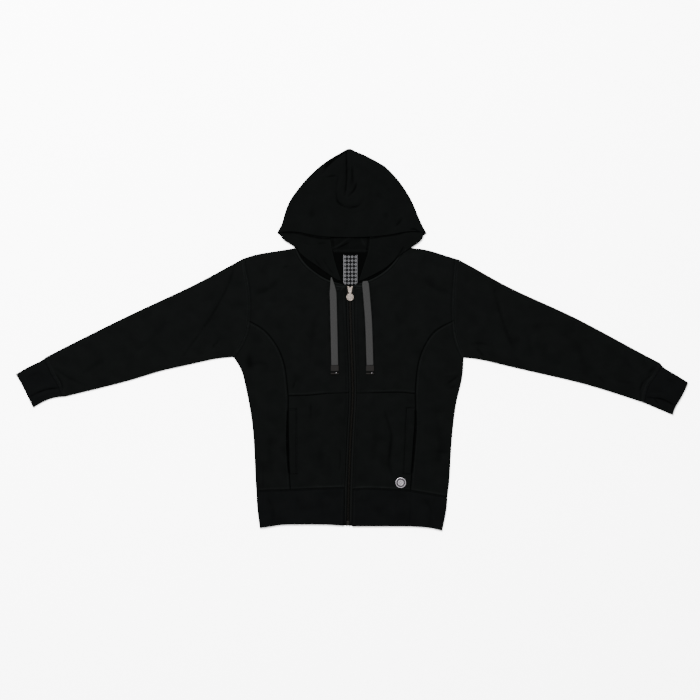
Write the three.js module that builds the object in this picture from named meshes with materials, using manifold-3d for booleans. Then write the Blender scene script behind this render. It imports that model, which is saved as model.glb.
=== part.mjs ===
// Zip up hoodie of knitted cloth, laid flat on its back with its sleeves spread.
// Millimetres, +Z up, +Y from the hem to the hood. The origin is on the back's underside,
// on the zip's line, level with the yoke seams. Left and right are those of someone who looks
// down at the laid garment. Each piece of cloth is a wall with a real thickness.
import * as THREE from "three";
import { mergeVertices } from "three/addons/utils/BufferGeometryUtils.js";
import Module from "manifold-3d";

const { Manifold, Mesh: ManifoldMesh } = await Module().then((wasm) => {
  wasm.setup();
  return wasm;
});

// Driving sizes
const cloth = 1.6; // one layer of brushed jersey
const cuffCloth = 1.9; // cuffs, doubled and pressed
const bandCloth = 2.0; // hem band, doubled and pressed
const gap = 0.3; // between pieces that lie on each other
const seamRetreat = 0.2; // what each edge gives up at a seam
const cuffRetreat = 0.4; // the same where a sleeve and its cuff meet
const armholeRetreat = 1.1; // and where a sleeve meets the body at a seam that curves more
const seamWidth = 3; // how far a sewn edge is pulled down
const seamDip = 0.5;
const frontTop = 5.0; // outer face of the fronts and sleeves over the surface
const bandTop = 5.4;
const neckTop = cloth * 2 + gap; // the fronts at the neck seam
const neckPressed = 4; // so near to the neck seam and the hood's edge the fronts are pressed down
const neckSlope = 24; // how far from them the fronts reach full height
const neckFlat = [26, 55]; // nearer to the zip than this the neck isn't pressed down
const onBack = cloth + gap; // the lowest face of what lies on the back
const edgeRound = 3.6; // width of the rounded fold at an outer edge
const zipHalf = 8; // half of the open strip between the fronts' edges

// Seams and edges of the laid garment: x, y of a few points, joined by smooth curves
const seams = {
  left: {
    shoulder: [[-246, 314], [-216, 324], [-184, 329], [-152, 334], [-124, 339]],
    armholeUpper: [[-246, 314], [-243, 286], [-237, 258], [-233, 218], [-234, 171]],
    armholeLower: [[-234, 171], [-238, 145], [-251, 115], [-269, 87]],
    neck: [[-124, 339], [-115, 317], [-100, 298], [-79, 281], [-51, 264], [-9, 252]],
    panelUpper: [[-234, 171], [-205, 155], [-186, 138], [-168, 113], [-156, 87], [-148, 56], [-142, -2]],
    panelLower: [[-142, -2], [-142, -34], [-143, -92], [-141, -150], [-137, -219]],
    yoke: [[-142, -2], [-99, -1], [-57, 3], [-2, 5]],
    sideUpper: [[-269, 87], [-252, 67], [-243, 30], [-235, -7]],
    sideLower: [[-235, -7], [-225, -62], [-221, -117], [-218, -191], [-216, -222]],
    hemSide: [[-216, -222], [-178, -220], [-137, -219]],
    hemFront: [[-137, -219], [-75, -216], [-12, -214]],
    bandSide: [[-216, -222], [-214, -260], [-208, -306]],
    hem: [[-208, -306], [-179, -302], [-159, -298], [-42, -298], [-13, -301]],
    sleeveUpper: [[-246, 314], [-290, 290], [-363, 251], [-511, 182], [-658, 109], [-700, 87]],
    sleeveLower: [[-269, 87], [-294, 86], [-327, 80], [-363, 71], [-437, 55], [-511, 32], [-656, -4]],
    cuffSeam: [[-700, 87], [-683, 51], [-668, 25], [-656, -4]],
    cuffEnd: [[-769, 48], [-757, 28], [-743, 0], [-729, -29]],
    cuffUpper: [[-700, 87], [-710, 79], [-738, 66], [-769, 48]],
    cuffLower: [[-656, -4], [-673, -5], [-698, -12], [-729, -29]],
    hoodEdge: [[-151, 389], [-157, 374], [-151, 360], [-129, 341], [-105, 317], [-76, 297], [-44, 274], [-30, 265]],
    hoodRoll: [[-48, 389], [-45, 361], [-41, 334], [-33, 302], [-20, 262]],
    hoodSeam: [
      [-120, 389], [-131, 373], [-121, 343], [-114, 319],
      [-99, 300], [-78, 283], [-51, 266], [-28, 261],
    ],
    hoodSide: [[-69, 527], [-99, 499], [-122, 471], [-141, 444], [-151, 416], [-158, 389], [-163, 373]],
    hoodNeckSide: [[-163, 373], [-140, 356], [-121, 342.5]],
    cord: [[-43, 266], [-39, 235], [-37, 161], [-35, 68]],
  },
  right: {
    shoulder: [[246, 313], [223, 320], [179, 334], [150, 338], [124, 339]],
    armholeUpper: [[246, 313], [243, 283], [240, 246], [238, 209], [239, 171]],
    armholeLower: [[239, 171], [241, 143], [248, 115], [261, 86]],
    neck: [[124, 339], [115, 324], [97, 300], [76, 281], [46, 264], [9, 252]],
    panelUpper: [[239, 171], [214, 159], [193, 145], [176, 122], [162, 92], [154, 56], [150, 3]],
    panelLower: [[150, 3], [151, -34], [149, -92], [143, -167], [139, -221]],
    yoke: [[150, 3], [115, 6], [51, 5], [14, 4]],
    sideUpper: [[261, 86], [259, 46], [251, 9], [244, -16]],
    sideLower: [[244, -16], [238, -62], [233, -117], [229, -191], [224, -235]],
    hemSide: [[224, -235], [182, -228], [139, -221]],
    hemFront: [[139, -221], [113, -219], [48, -216], [5, -218]],
    bandSide: [[224, -235], [222, -264], [212, -312]],
    hem: [[212, -312], [183, -305], [138, -302], [69, -302], [3, -302]],
    sleeveUpper: [[246, 313], [262, 307], [299, 285], [373, 244], [520, 177], [667, 98], [713, 74]],
    sleeveLower: [[261, 86], [281, 85], [299, 82], [373, 64], [520, 30], [593, 9], [672, -17]],
    cuffSeam: [[713, 74], [702, 51], [687, 30], [678, 10], [672, -17]],
    cuffEnd: [[777, 30], [775, 21], [761, -7], [747, -30], [742, -46]],
    cuffUpper: [[713, 74], [722, 63], [741, 52], [777, 30]],
    cuffLower: [[672, -17], [690, -24], [713, -34], [742, -46]],
    hoodEdge: [[159, 389], [166, 374], [161, 361], [148, 344], [118, 324], [80, 291], [41, 270], [30, 265]],
    hoodRoll: [[46, 389], [46, 361], [43, 334], [34, 305], [20, 262]],
    hoodSeam: [[126, 389], [136, 373], [122, 343], [113, 324], [95, 301], [75, 283], [46, 266], [28, 261]],
    hoodSide: [[80, 527], [108, 499], [128, 471], [144, 444], [155, 416], [167, 389], [172, 372]],
    hoodNeckSide: [[172, 372], [147, 356], [121, 342.5]],
    cord: [[35, 262], [39, 218], [43, 161], [46, 68]],
  },
  zip: [[0, 252], [0, 218], [3, 115], [6, 34], [6, -12], [1, -103], [-3, -209], [-5, -302]],
  hemMiddle: [[-137, -219], [-60, -216], [60, -217], [139, -221]],
  backNeck: [[-124, 339], [-92, 332], [-37, 331], [39, 331], [92, 332], [124, 339]],
  hoodNeck: [[-121, 342.5], [-92, 334], [-37, 332], [39, 332], [92, 334], [121, 342.5]],
  hoodTop: [[-69, 527], [-51, 540], [-28, 554], [-12, 562], [-2, 565], [30, 554], [57, 540], [80, 527]],
  hoodFace: [
    [-163, 373], [-147, 376], [-110, 374], [-80, 366], [-30, 363],
    [34, 363], [90, 368], [124, 375], [152, 377], [172, 372],
  ],
};

// Folds: a soft trough (rise below 0) or ridge along a line, and how wide it is
const foldColumns = ["x1", "y1", "x2", "y2", "width", "rise"];
const folds = {
  body: table(foldColumns, [
    [-232, 190, -150, 215, 14, -0.6],
    [-228, 225, -175, 262, 12, -0.5],
    [232, 188, 160, 205, 14, -0.6],
    [226, 232, 180, 268, 12, -0.5],
    [-92, -20, -96, -72, 7, -0.5],
    [-32, -120, -28, -190, 8, -0.6],
    [98, -50, 104, -200, 9, -0.6],
    [-190, 60, -214, -20, 16, 0.5],
    [200, 50, 214, -40, 16, 0.5],
  ]),
  sleeves: table(foldColumns, [
    [-272, 118, -340, 176, 16, -0.9],
    [-262, 160, -300, 240, 12, -0.6],
    [-640, 92, -662, 62, 8, -0.8],
    [-655, 70, -604, 24, 10, 0.8],
    [-560, 120, -600, 60, 18, -0.6],
    [-420, 180, -470, 90, 24, 0.6],
    [272, 118, 345, 172, 16, -0.9],
    [264, 170, 305, 238, 12, -0.6],
    [648, 84, 664, 36, 8, -0.8],
    [690, 70, 640, 10, 10, 0.7],
    [560, 110, 600, 48, 18, -0.6],
    [430, 170, 480, 84, 24, 0.6],
  ]),
  cuffs: table(foldColumns, [
    [-734, -3, -714, 4, 3.5, -0.7],
    [-714, 4, -672, 13, 3.5, -0.7],
    [-745, 40, -700, 55, 10, 0.5],
    [686, -1, 715, -11, 3.5, -0.7],
    [715, -11, 744, -24, 3.5, -0.7],
    [722, 46, 755, 20, 10, 0.5],
  ]),
  hood: table(foldColumns, [
    [-3, 565, -7, 483, 4, -1.2],
    [-14, 548, -18, 500, 9, 0.9],
    [6, 545, 2, 490, 8, 0.7],
    [-28, 498, -34, 452, 10, 0.8],
    [30, 500, 32, 448, 10, 0.7],
    [-6, 470, 2, 436, 14, -0.7],
    [-60, 398, 60, 394, 16, 0.5],
    [-9, 559, -37, 529, 5, -0.8],
  ]),
};

// A table's rows as objects with named columns
function table(columns, rows) {
  return rows.map((row) => Object.fromEntries(columns.map((name, i) => [name, row[i]])));
}

const smooth = THREE.MathUtils.smoothstep;

// How much the folds raise or lower the cloth at a place
function foldRise(rows, x, y) {
  let rise = 0;
  for (const f of rows) {
    const dx = f.x2 - f.x1;
    const dy = f.y2 - f.y1;
    const along = ((x - f.x1) * dx + (y - f.y1) * dy) / (dx * dx + dy * dy);
    const t = THREE.MathUtils.clamp(along, 0, 1);
    const away = Math.hypot(x - f.x1 - t * dx, y - f.y1 - t * dy);
    rise += f.rise * Math.exp(-((away / f.width) ** 2));
  }
  return rise;
}

const curve = (points) => new THREE.SplineCurve(points.map(([x, y]) => new THREE.Vector2(x, y)));
const reversed = (points) => [...points].reverse();

// The part of the zip's line between two heights, moved to one side
function zipEdge(offset, fromY, toY, count = 6) {
  const line = curve(seams.zip).getPoints(120);
  const xAt = (y) => line.reduce((a, b) => (Math.abs(a.y - y) < Math.abs(b.y - y) ? a : b)).x;
  return Array.from({ length: count + 1 }, (_, i) => {
    const y = THREE.MathUtils.lerp(fromY, toY, i / count);
    return [xAt(y) + offset, y];
  });
}

// Places along a side of a piece, from 0 to 1, with more of them at a rounded or a sewn edge.
// lift is how much of its height the cloth has there, and dip how far the seam pulls it down.
function stops(count, length, start = "plain", end = "plain") {
  const list = Array.from({ length: count + 1 }, (_, i) => ({ at: i / count, lift: 1, dip: 0 }));
  const shape = (kind, first, inner, place) => {
    if (kind === "round") {
      first.lift = 0;
      for (const degrees of [30, 60, 90]) {
        const a = THREE.MathUtils.degToRad(degrees);
        const at = (edgeRound * (1 - Math.cos(a))) / length;
        inner.push({ at: place(at), lift: Math.sin(a), dip: 0 });
      }
    } else if (kind === "rim") {
      for (const at of [edgeRound / 2, edgeRound])
        inner.push({ at: place(at / length), lift: 1, dip: 0 });
    } else if (kind === "seam") {
      first.dip = seamDip;
      inner.push({ at: place(seamWidth / length), lift: 1, dip: 0 });
    }
  };
  const extra = [];
  shape(start, list[0], extra, (at) => at);
  shape(end, list[count], extra, (at) => 1 - at);
  return [...list, ...extra].sort((a, b) => a.at - b.at);
}

// Points of a side made of one or more curves; the stops run from 0 to 1 on each curve in turn
function sidePoints(tables, stopLists) {
  const points = [];
  tables.forEach((points2d, k) => {
    const c = curve(points2d);
    stopLists[k].forEach((stop, i) => {
      if (k === 0 || i > 0) points.push(c.getPointAt(stop.at));
    });
  });
  return points;
}
const joinStops = (lists) => lists.flatMap((list, k) => (k === 0 ? list : list.slice(1)));

function shares(points) {
  const lengths = [0];
  points.slice(1).forEach((p, i) => lengths.push(lengths[i] + p.distanceTo(points[i])));
  return lengths.map((length) => length / lengths.at(-1));
}

// A grid of places inside four sides, rows from top to bottom
function spread(top, bottom, left, right) {
  const rowShare = shares(left).map((s, i) => (s + shares(right)[i]) / 2);
  const columnShare = shares(top).map((s, j) => (s + shares(bottom)[j]) / 2);
  const mix = (a, b, t) => a.clone().lerp(b, t);
  return rowShare.map((s, i) =>
    columnShare.map((t, j) => {
      const across = mix(left[i], right[i], t);
      const down = mix(top[j], bottom[j], s);
      const corners = mix(mix(top[0], top.at(-1), t), mix(bottom[0], bottom.at(-1), t), s);
      return across.add(down).sub(corners);
    }),
  );
}

// Moves the grid's outline inwards, so that neighbours stay apart at their seam
function retreat(grid, distance) {
  const rows = grid.length - 1;
  const columns = grid[0].length - 1;
  const pull = (p, towards) => p.add(towards.clone().sub(p).setLength(distance));
  const before = grid.map((row) => row.map((p) => p.clone()));
  grid.forEach((row, i) =>
    row.forEach((p, j) => {
      if (i === 0) pull(p, before[1][j].clone().add(p).sub(before[0][j]));
      if (i === rows) pull(p, before[rows - 1][j].clone().add(p).sub(before[rows][j]));
      if (j === 0) pull(p, before[i][1].clone().add(p).sub(before[i][0]));
      if (j === columns) pull(p, before[i][columns - 1].clone().add(p).sub(before[i][columns]));
    }),
  );
  return grid;
}

// Normals of a grid of points; a ring's columns go round and meet
function gridNormals(points, ring) {
  const rows = points.length;
  const columns = points[0].length;
  return points.map((row, i) =>
    row.map((_, j) => {
      const before = ring ? (j + columns - 1) % columns : Math.max(j - 1, 0);
      const after = ring ? (j + 1) % columns : Math.min(j + 1, columns - 1);
      const across = row[after].clone().sub(row[before]);
      const down = points[Math.min(i + 1, rows - 1)][j].clone().sub(points[Math.max(i - 1, 0)][j]);
      return down.cross(across).normalize();
    }),
  );
}

// A closed body between an outer and an inner grid of the same size
function shell(outer, inner, ring = false) {
  const rows = outer.length;
  const columns = outer[0].length;
  const positions = [...outer.flat(), ...inner.flat()].flatMap((p) => [p.x, p.y, p.z]);
  const at = (side, i, j) => side * rows * columns + i * columns + (j % columns);
  const index = [];
  const quad = (a, b, c, d) => index.push(a, b, c, a, c, d);
  const lastColumn = ring ? columns : columns - 1;
  for (let i = 0; i < rows - 1; i++) {
    for (let j = 0; j < lastColumn; j++) {
      quad(at(0, i, j), at(0, i + 1, j), at(0, i + 1, j + 1), at(0, i, j + 1));
      quad(at(1, i, j), at(1, i, j + 1), at(1, i + 1, j + 1), at(1, i + 1, j));
    }
  }
  for (let j = 0; j < lastColumn; j++) {
    quad(at(0, 0, j), at(0, 0, j + 1), at(1, 0, j + 1), at(1, 0, j));
    quad(at(0, rows - 1, j), at(1, rows - 1, j), at(1, rows - 1, j + 1), at(0, rows - 1, j + 1));
  }
  if (!ring) {
    for (let i = 0; i < rows - 1; i++) {
      quad(at(0, i, 0), at(1, i, 0), at(1, i + 1, 0), at(0, i + 1, 0));
      const j = columns - 1;
      quad(at(0, i, j), at(0, i + 1, j), at(1, i + 1, j), at(1, i, j));
    }
  }
  const geometry = new THREE.BufferGeometry();
  geometry.setAttribute("position", new THREE.Float32BufferAttribute(positions, 3));
  geometry.setIndex(index);
  return facingOut(geometry);
}

// Turns a closed body's faces outwards
function facingOut(geometry) {
  const p = geometry.attributes.position;
  const index = geometry.index.array;
  const corner = (i) => new THREE.Vector3().fromBufferAttribute(p, index[i]);
  let volume = 0;
  for (let i = 0; i < index.length; i += 3)
    volume += corner(i).dot(corner(i + 1).cross(corner(i + 2)));
  if (volume < 0)
    for (let i = 0; i < index.length; i += 3)
      [index[i + 1], index[i + 2]] = [index[i + 2], index[i + 1]];
  geometry.computeVertexNormals();
  return geometry;
}

// A wall of cloth under a grid of outer points, never lower than a given height
function clothWall(outer, thickness, lowest, ring = false) {
  const normals = gridNormals(outer, ring);
  const row = Math.floor(outer.length / 2);
  const highest = outer[row].reduce((best, p, j) => (p.z > outer[row][best].z ? j : best), 0);
  const sign = normals[row][highest].z < 0 ? 1 : -1;
  const inner = outer.map((row, i) =>
    row.map((p, j) => {
      const q = p.clone().addScaledVector(normals[i][j], sign * thickness);
      q.z = Math.max(q.z, lowest);
      return q;
    }),
  );
  return shell(outer, inner, ring);
}

// A panel of cloth between four sides, with its outer face at a height that may vary
function panel({ top, bottom, left, right, rows, columns, height, thickness = cloth, lowest }) {
  const rowStops = joinStops(rows);
  const columnStops = joinStops(columns);
  const grid = spread(
    sidePoints(top, columns),
    sidePoints(bottom, columns),
    sidePoints(left, rows),
    sidePoints(right, rows),
  );
  const outer = retreat(grid, seamRetreat).map((row, i) =>
    row.map((p, j) => {
      const full = height(p.x, p.y) - Math.max(rowStops[i].dip, columnStops[j].dip);
      const lift = rowStops[i].lift * columnStops[j].lift;
      return new THREE.Vector3(p.x, p.y, lowest + (full - lowest) * lift);
    }),
  );
  return clothWall(outer, thickness, lowest);
}

// Stops round a tube: how many lie on its upper and lower face, and its edge folds' share of it
const tubeRing = { topCount: 7, bottomCount: 5, edge: 0.03 };

// A flattened tube between an upper and a lower edge, from one end seam to the other
function tube({ upper, lower, start, end, along, height, thickness }) {
  const { topCount, bottomCount, edge } = tubeRing;
  const ring = [];
  const arc = [-60, -30, 0, 30, 60].map((degrees) => THREE.MathUtils.degToRad(degrees));
  arc.forEach((a) => ring.push({ across: edge * (1 - Math.cos(a)), turn: Math.sin(a) }));
  for (let k = 0; k <= topCount; k++)
    ring.push({ across: THREE.MathUtils.lerp(edge, 1 - edge, k / topCount), turn: 1 });
  reversed(arc).forEach((a) => ring.push({ across: 1 - edge * (1 - Math.cos(a)), turn: Math.sin(a) }));
  for (let k = 0; k <= bottomCount; k++)
    ring.push({ across: THREE.MathUtils.lerp(1 - edge, edge, k / bottomCount), turn: -1 });
  const startPath = new THREE.CurvePath();
  start.forEach((points) => startPath.add(curve(points)));
  const upperCurve = curve(upper);
  const lowerCurve = curve(lower);
  const endCurve = curve(end);
  const grid = along.map((stop) =>
    ring.map(({ across }) => {
      const s = stop.at;
      const a = upperCurve.getPointAt(s).lerp(lowerCurve.getPointAt(s), across);
      const b = startPath.getPointAt(across).clone().lerp(endCurve.getPointAt(across), s);
      const first = startPath.getPointAt(0).clone().lerp(startPath.getPointAt(1), across);
      const last = endCurve.getPointAt(0).clone().lerp(endCurve.getPointAt(1), across);
      return a.add(b).sub(first.lerp(last, s));
    }),
  );
  const pull = (p, towards, distance) => p.add(towards.clone().sub(p).setLength(distance));
  const startRetreat = start.length > 1 ? armholeRetreat : cuffRetreat;
  grid[0].forEach((p, j) => pull(p, grid[1][j], startRetreat));
  grid.at(-1).forEach((p, j) => pull(p, grid.at(-2)[j], cuffRetreat));
  const outer = grid.map((row, i) =>
    row.map((p, j) => {
      const full = height(p.x, p.y) - along[i].dip;
      const z = (full / 2) * (1 + ring[j].turn);
      return new THREE.Vector3(p.x, p.y, z);
    }),
  );
  return clothWall(outer, thickness, 0, true);
}

// Materials
const colours = {
  cloth: 0x161819, tape: 0x464644, chain: 0x2b211e,
  metal: 0xbeb4ac, tip: 0x37312f, label: 0x1b1b1d,
};
const material = (color, roughness, metalness = 0) =>
  new THREE.MeshStandardMaterial({ color, roughness, metalness, side: THREE.FrontSide });
const clothLook = () => material(colours.cloth, 0.95);
const metalLook = () => material(colours.metal, 0.3, 1);

const hoodie = new THREE.Group();
hoodie.name = "zip_up_hoodie";
function add(name, geometry, look) {
  const mesh = new THREE.Mesh(geometry, look);
  mesh.name = name;
  hoodie.add(mesh);
  return mesh;
}

// Heights of the outer faces
const neckLines = ["left", "right"].flatMap((side) => [
  ...curve(seams[side].neck).getPoints(30),
  ...curve(seams[side].hoodEdge.slice(2)).getPoints(30),
]);
function frontHeight(x, y) {
  const away = Math.min(...neckLines.map((p) => Math.hypot(p.x - x, p.y - y)));
  const pressed = (1 - smooth(away, neckPressed, neckSlope)) * smooth(Math.abs(x), ...neckFlat);
  return frontTop + foldRise(folds.body, x, y) * (1 - pressed) - (frontTop - neckTop) * pressed;
}
const sleeveHeight = (x, y) => frontTop + foldRise(folds.sleeves, x, y);
const cuffHeight = (x, y) => frontTop + foldRise(folds.cuffs, x, y);

// The hood's sides lie doubled under the crown's face edge and lift it there
const foldedTop = onBack + cloth * 2 + gap;
const crownOverFold = foldedTop + gap + cloth;
const crownRise = { fromX: 16, toX: 42, fromY: 425, toY: 396 };
function crownHeight(x, y) {
  const overSides = smooth(Math.abs(x), crownRise.fromX, crownRise.toX);
  const nearFace = 1 - smooth(y, crownRise.toY, crownRise.fromY);
  return frontTop + (crownOverFold - frontTop) * overSides * nearFace + foldRise(folds.hood, x, y);
}

// Back of the body, from the neck and shoulders to the hem band
function backPanel() {
  const { left, right } = seams;
  const rows = [stops(6, 145), stops(3, 90), stops(3, 95), stops(4, 215)];
  const columns = [stops(3, 125), stops(5, 250), stops(3, 125)];
  return panel({
    top: [left.shoulder, seams.backNeck, reversed(right.shoulder)],
    bottom: [left.hemSide, seams.hemMiddle, reversed(right.hemSide)],
    left: [left.armholeUpper, left.armholeLower, left.sideUpper, left.sideLower],
    right: [right.armholeUpper, right.armholeLower, right.sideUpper, right.sideLower],
    rows,
    columns,
    height: () => cloth,
    lowest: 0,
  });
}

// Front yoke: armhole and curved seam outside, neck and zip inside
function frontUpper(side) {
  const s = seams[side];
  const offset = side === "left" ? -zipHalf : zipHalf;
  const rows = [stops(5, 150, "round"), stops(7, 210, "plain", "seam")];
  return panel({
    top: [s.shoulder],
    bottom: [s.yoke],
    left: [s.armholeUpper, s.panelUpper],
    right: [
      s.neck,
      [s.neck.at(-1), ...zipEdge(offset, 220, s.yoke.at(-1)[1], 4).slice(0, -1), s.yoke.at(-1)],
    ],
    rows,
    columns: [stops(6, 150, "seam")],
    height: frontHeight,
    lowest: onBack,
  });
}

// The pocket's slit is a stretch of the long seam that stays open
const slit = { from: -36, to: -177, open: 2.6 };
function slitEdge(side) {
  const inwards = side === "left" ? 1 : -1;
  const line = curve(seams[side].panelLower);
  return Array.from({ length: 15 }, (_, i) => {
    const p = line.getPointAt(i / 14);
    const t = THREE.MathUtils.clamp((p.y - slit.from) / (slit.to - slit.from), 0, 1);
    return [p.x + inwards * slit.open * Math.sin(Math.PI * t), p.y];
  });
}

function frontLower(side) {
  const s = seams[side];
  const offset = side === "left" ? -zipHalf : zipHalf;
  const inner = zipEdge(offset, s.yoke.at(-1)[1], s.hemFront.at(-1)[1]);
  return panel({
    top: [s.yoke],
    bottom: [s.hemFront],
    left: [slitEdge(side)],
    right: [[s.yoke.at(-1), ...inner.slice(1, -1), s.hemFront.at(-1)]],
    rows: [stops(10, 215, "seam", "seam")],
    columns: [stops(6, 135, "seam")],
    height: frontHeight,
    lowest: onBack,
  });
}

function sidePanel(side) {
  const s = seams[side];
  return panel({
    top: [reversed(s.armholeLower)],
    bottom: [s.hemSide],
    left: [s.sideUpper, s.sideLower],
    right: [s.panelUpper, s.panelLower],
    rows: [stops(7, 210, "seam"), stops(10, 215, "plain", "seam")],
    columns: [stops(3, 80, "round", "seam")],
    height: frontHeight,
    lowest: onBack,
  });
}

function hemBand(side) {
  const s = seams[side];
  const seamEnd = s.hemFront.at(-1);
  return panel({
    top: [s.hemSide, s.hemFront],
    bottom: [s.hem.slice(0, 3), s.hem.slice(2)],
    left: [s.bandSide],
    right: [[seamEnd, s.hem.at(-1)]],
    rows: [stops(4, 85, "seam")],
    columns: [stops(3, 70, "round"), stops(4, 135)],
    height: () => bandTop,
    thickness: bandCloth,
    lowest: bandCloth + gap,
  });
}

function hemBandBack() {
  const { left, right } = seams;
  return panel({
    top: [left.hemSide, seams.hemMiddle, reversed(right.hemSide)],
    bottom: [
      left.hem.slice(0, 3),
      [left.hem[2], left.hem[3], [0, -302], right.hem[2]],
      reversed(right.hem.slice(0, 3)),
    ],
    left: [left.bandSide],
    right: [right.bandSide],
    rows: [stops(2, 85)],
    columns: [stops(3, 80), stops(5, 280), stops(3, 85)],
    height: () => bandCloth,
    thickness: bandCloth,
    lowest: 0,
  });
}

const sleeve = (side) =>
  tube({
    upper: seams[side].sleeveUpper,
    lower: seams[side].sleeveLower,
    start: [seams[side].armholeUpper, seams[side].armholeLower],
    end: seams[side].cuffSeam,
    along: stops(11, 450, "seam", "seam"),
    height: sleeveHeight,
    thickness: cloth,
  });

const cuff = (side) =>
  tube({
    upper: seams[side].cuffUpper,
    lower: seams[side].cuffLower,
    start: [seams[side].cuffSeam],
    end: seams[side].cuffEnd,
    along: stops(6, 85, "seam"),
    height: cuffHeight,
    thickness: cuffCloth,
  });

// Hood: its back lies on the surface, and the crown lies over it with rounded outer folds
function hoodBack() {
  const { left, right } = seams;
  return panel({
    top: [seams.hoodTop],
    bottom: [seams.hoodNeck],
    left: [left.hoodSide, left.hoodNeckSide],
    right: [right.hoodSide, right.hoodNeckSide],
    rows: [stops(8, 180), stops(2, 50)],
    columns: [stops(8, 250)],
    height: () => cloth,
    lowest: 0,
  });
}

// How near a place is to a line, and which way leads from the line to it
function fromLine(line, x, y) {
  let best = { distance: Infinity };
  for (let k = 1; k < line.length; k++) {
    const along = line[k].clone().sub(line[k - 1]);
    const offset = new THREE.Vector2(x, y).sub(line[k - 1]);
    const share = THREE.MathUtils.clamp(offset.dot(along) / along.lengthSq(), 0, 1);
    const distance = offset.addScaledVector(along, -share).length();
    if (distance < best.distance)
      best = { distance, inward: new THREE.Vector2(along.y, -along.x).normalize() };
  }
  return best;
}

// The crown's outer edge is a round fold down to the hood's back, of one thickness all along
function hoodCrown() {
  const rows = [stops(9, 170, "rim")];
  const columns = [stops(14, 240, "rim", "rim")];
  const { left, right } = seams;
  const sides = [reversed(left.hoodSide), seams.hoodTop, right.hoodSide];
  const outline = sides.flatMap((points) => curve(points).getSpacedPoints(40));
  const grid = spread(
    sidePoints([seams.hoodTop], columns),
    sidePoints([seams.hoodFace], columns),
    sidePoints([left.hoodSide], rows),
    sidePoints([right.hoodSide], rows),
  );
  const arc = (share) => Math.sqrt(1 - (1 - Math.min(share, 1)) ** 2);
  const wall = (thickness) =>
    grid.map((row) =>
      row.map((p) => {
        const { distance, inward } = fromLine(outline, p.x, p.y);
        const spare = Math.max(0, 1 - distance / edgeRound);
        const q = p.clone().addScaledVector(inward, seamRetreat + spare * thickness);
        const full = crownHeight(p.x, p.y) - thickness - onBack;
        return new THREE.Vector3(q.x, q.y, onBack + full * arc(distance / edgeRound));
      }),
    );
  return shell(wall(0), wall(cloth));
}

// The hood's side runs in from the neck seam, folds over at the roll line and lies back
// outwards on itself, so that its inner face shows as far as the hood's face edge
function hoodSide(side) {
  const s = seams[side];
  const [edge, roll, sewn] = [s.hoodEdge, s.hoodRoll, s.hoodSeam].map(curve);
  const lowMiddle = onBack + cloth / 2;
  const bend = (cloth + gap) / 2; // radius of the folded wall's middle
  const stations = 12;
  const upperCount = 5;
  const lowerCount = 4;
  const bendCount = 4;
  const middle = Array.from({ length: stations + 1 }, (_, i) => {
    const s = i / stations;
    const [e, r, n] = [edge, roll, sewn].map((c) => c.getPointAt(s));
    const fold = r.clone().add(e.clone().sub(r).setLength(bend + cloth / 2));
    const out = fold.clone().sub(e).normalize();
    const row = [];
    for (let k = 0; k <= upperCount; k++)
      row.push(new THREE.Vector3(...e.clone().lerp(fold, k / upperCount), lowMiddle + 2 * bend));
    for (let k = 1; k < bendCount; k++) {
      const a = Math.PI * (0.5 - k / bendCount);
      const p = fold.clone().addScaledVector(out, bend * Math.cos(a));
      row.push(new THREE.Vector3(p.x, p.y, lowMiddle + bend * (1 + Math.sin(a))));
    }
    for (let k = 0; k <= lowerCount; k++)
      row.push(new THREE.Vector3(...fold.clone().lerp(n, k / lowerCount), lowMiddle));
    return row;
  });
  const normals = gridNormals(middle, false);
  const offset = (amount) =>
    middle.map((row, i) => row.map((p, j) => p.clone().addScaledVector(normals[i][j], amount)));
  return shell(offset(cloth / 2), offset(-cloth / 2));
}

// A flat body between two heights, from a grid of places
function slab(grid, topAt, bottomAt) {
  const face = (heightAt) =>
    grid.map((row, i) => row.map(([x, y], j) => new THREE.Vector3(x, y, heightAt(i, j))));
  return shell(face(topAt), face(bottomAt));
}

// Zip: two tapes under the fronts' edges, and the closed chain between them
const zip = {
  top: 252,
  bottom: -299,
  tapeInner: 3.4,
  tapeOuter: 15,
  tapeLow: 2.2,
  tapeHigh: 2.8,
  chainHalf: 2.6,
  chainTop: 231,
  chainHigh: 4.7,
  chainShoulder: 4.2,
};
function zipTape(side) {
  const sign = side === "left" ? -1 : 1;
  const inner = zipEdge(sign * zip.tapeInner, zip.top, zip.bottom, 12);
  const outer = zipEdge(sign * zip.tapeOuter, zip.top, zip.bottom, 12);
  const grid = inner.map((p, i) => [p, outer[i]]);
  return slab(grid, () => zip.tapeHigh, () => zip.tapeLow);
}
function zipChain() {
  const offsets = [-zip.chainHalf, -zip.chainHalf / 2, zip.chainHalf / 2, zip.chainHalf];
  const lines = offsets.map((offset) => zipEdge(offset, zip.chainTop, zip.bottom, 12));
  const grid = lines[0].map((_, i) => lines.map((line) => line[i]));
  const topAt = (i, j) => (j === 0 || j === 3 ? zip.chainShoulder : zip.chainHigh);
  return slab(grid, topAt, () => zip.tapeLow);
}

// Joins and cuts of closed bodies
function solid(geometry) {
  const plain = geometry.index ? geometry.toNonIndexed() : geometry.clone();
  plain.deleteAttribute("normal");
  plain.deleteAttribute("uv");
  const merged = mergeVertices(plain, 1e-4);
  return new Manifold(
    new ManifoldMesh({
      numProp: 3,
      vertProperties: merged.attributes.position.array,
      triVerts: new Uint32Array(merged.index.array),
    }),
  );
}
function geometryOf(body) {
  const mesh = body.getMesh();
  const geometry = new THREE.BufferGeometry();
  geometry.setAttribute("position", new THREE.Float32BufferAttribute(mesh.vertProperties, 3));
  geometry.setIndex([...mesh.triVerts]);
  geometry.computeVertexNormals();
  return geometry;
}
const acrossX = (radius, length, sides = 20) =>
  new THREE.CylinderGeometry(radius, radius, length, sides).rotateZ(Math.PI / 2);

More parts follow.
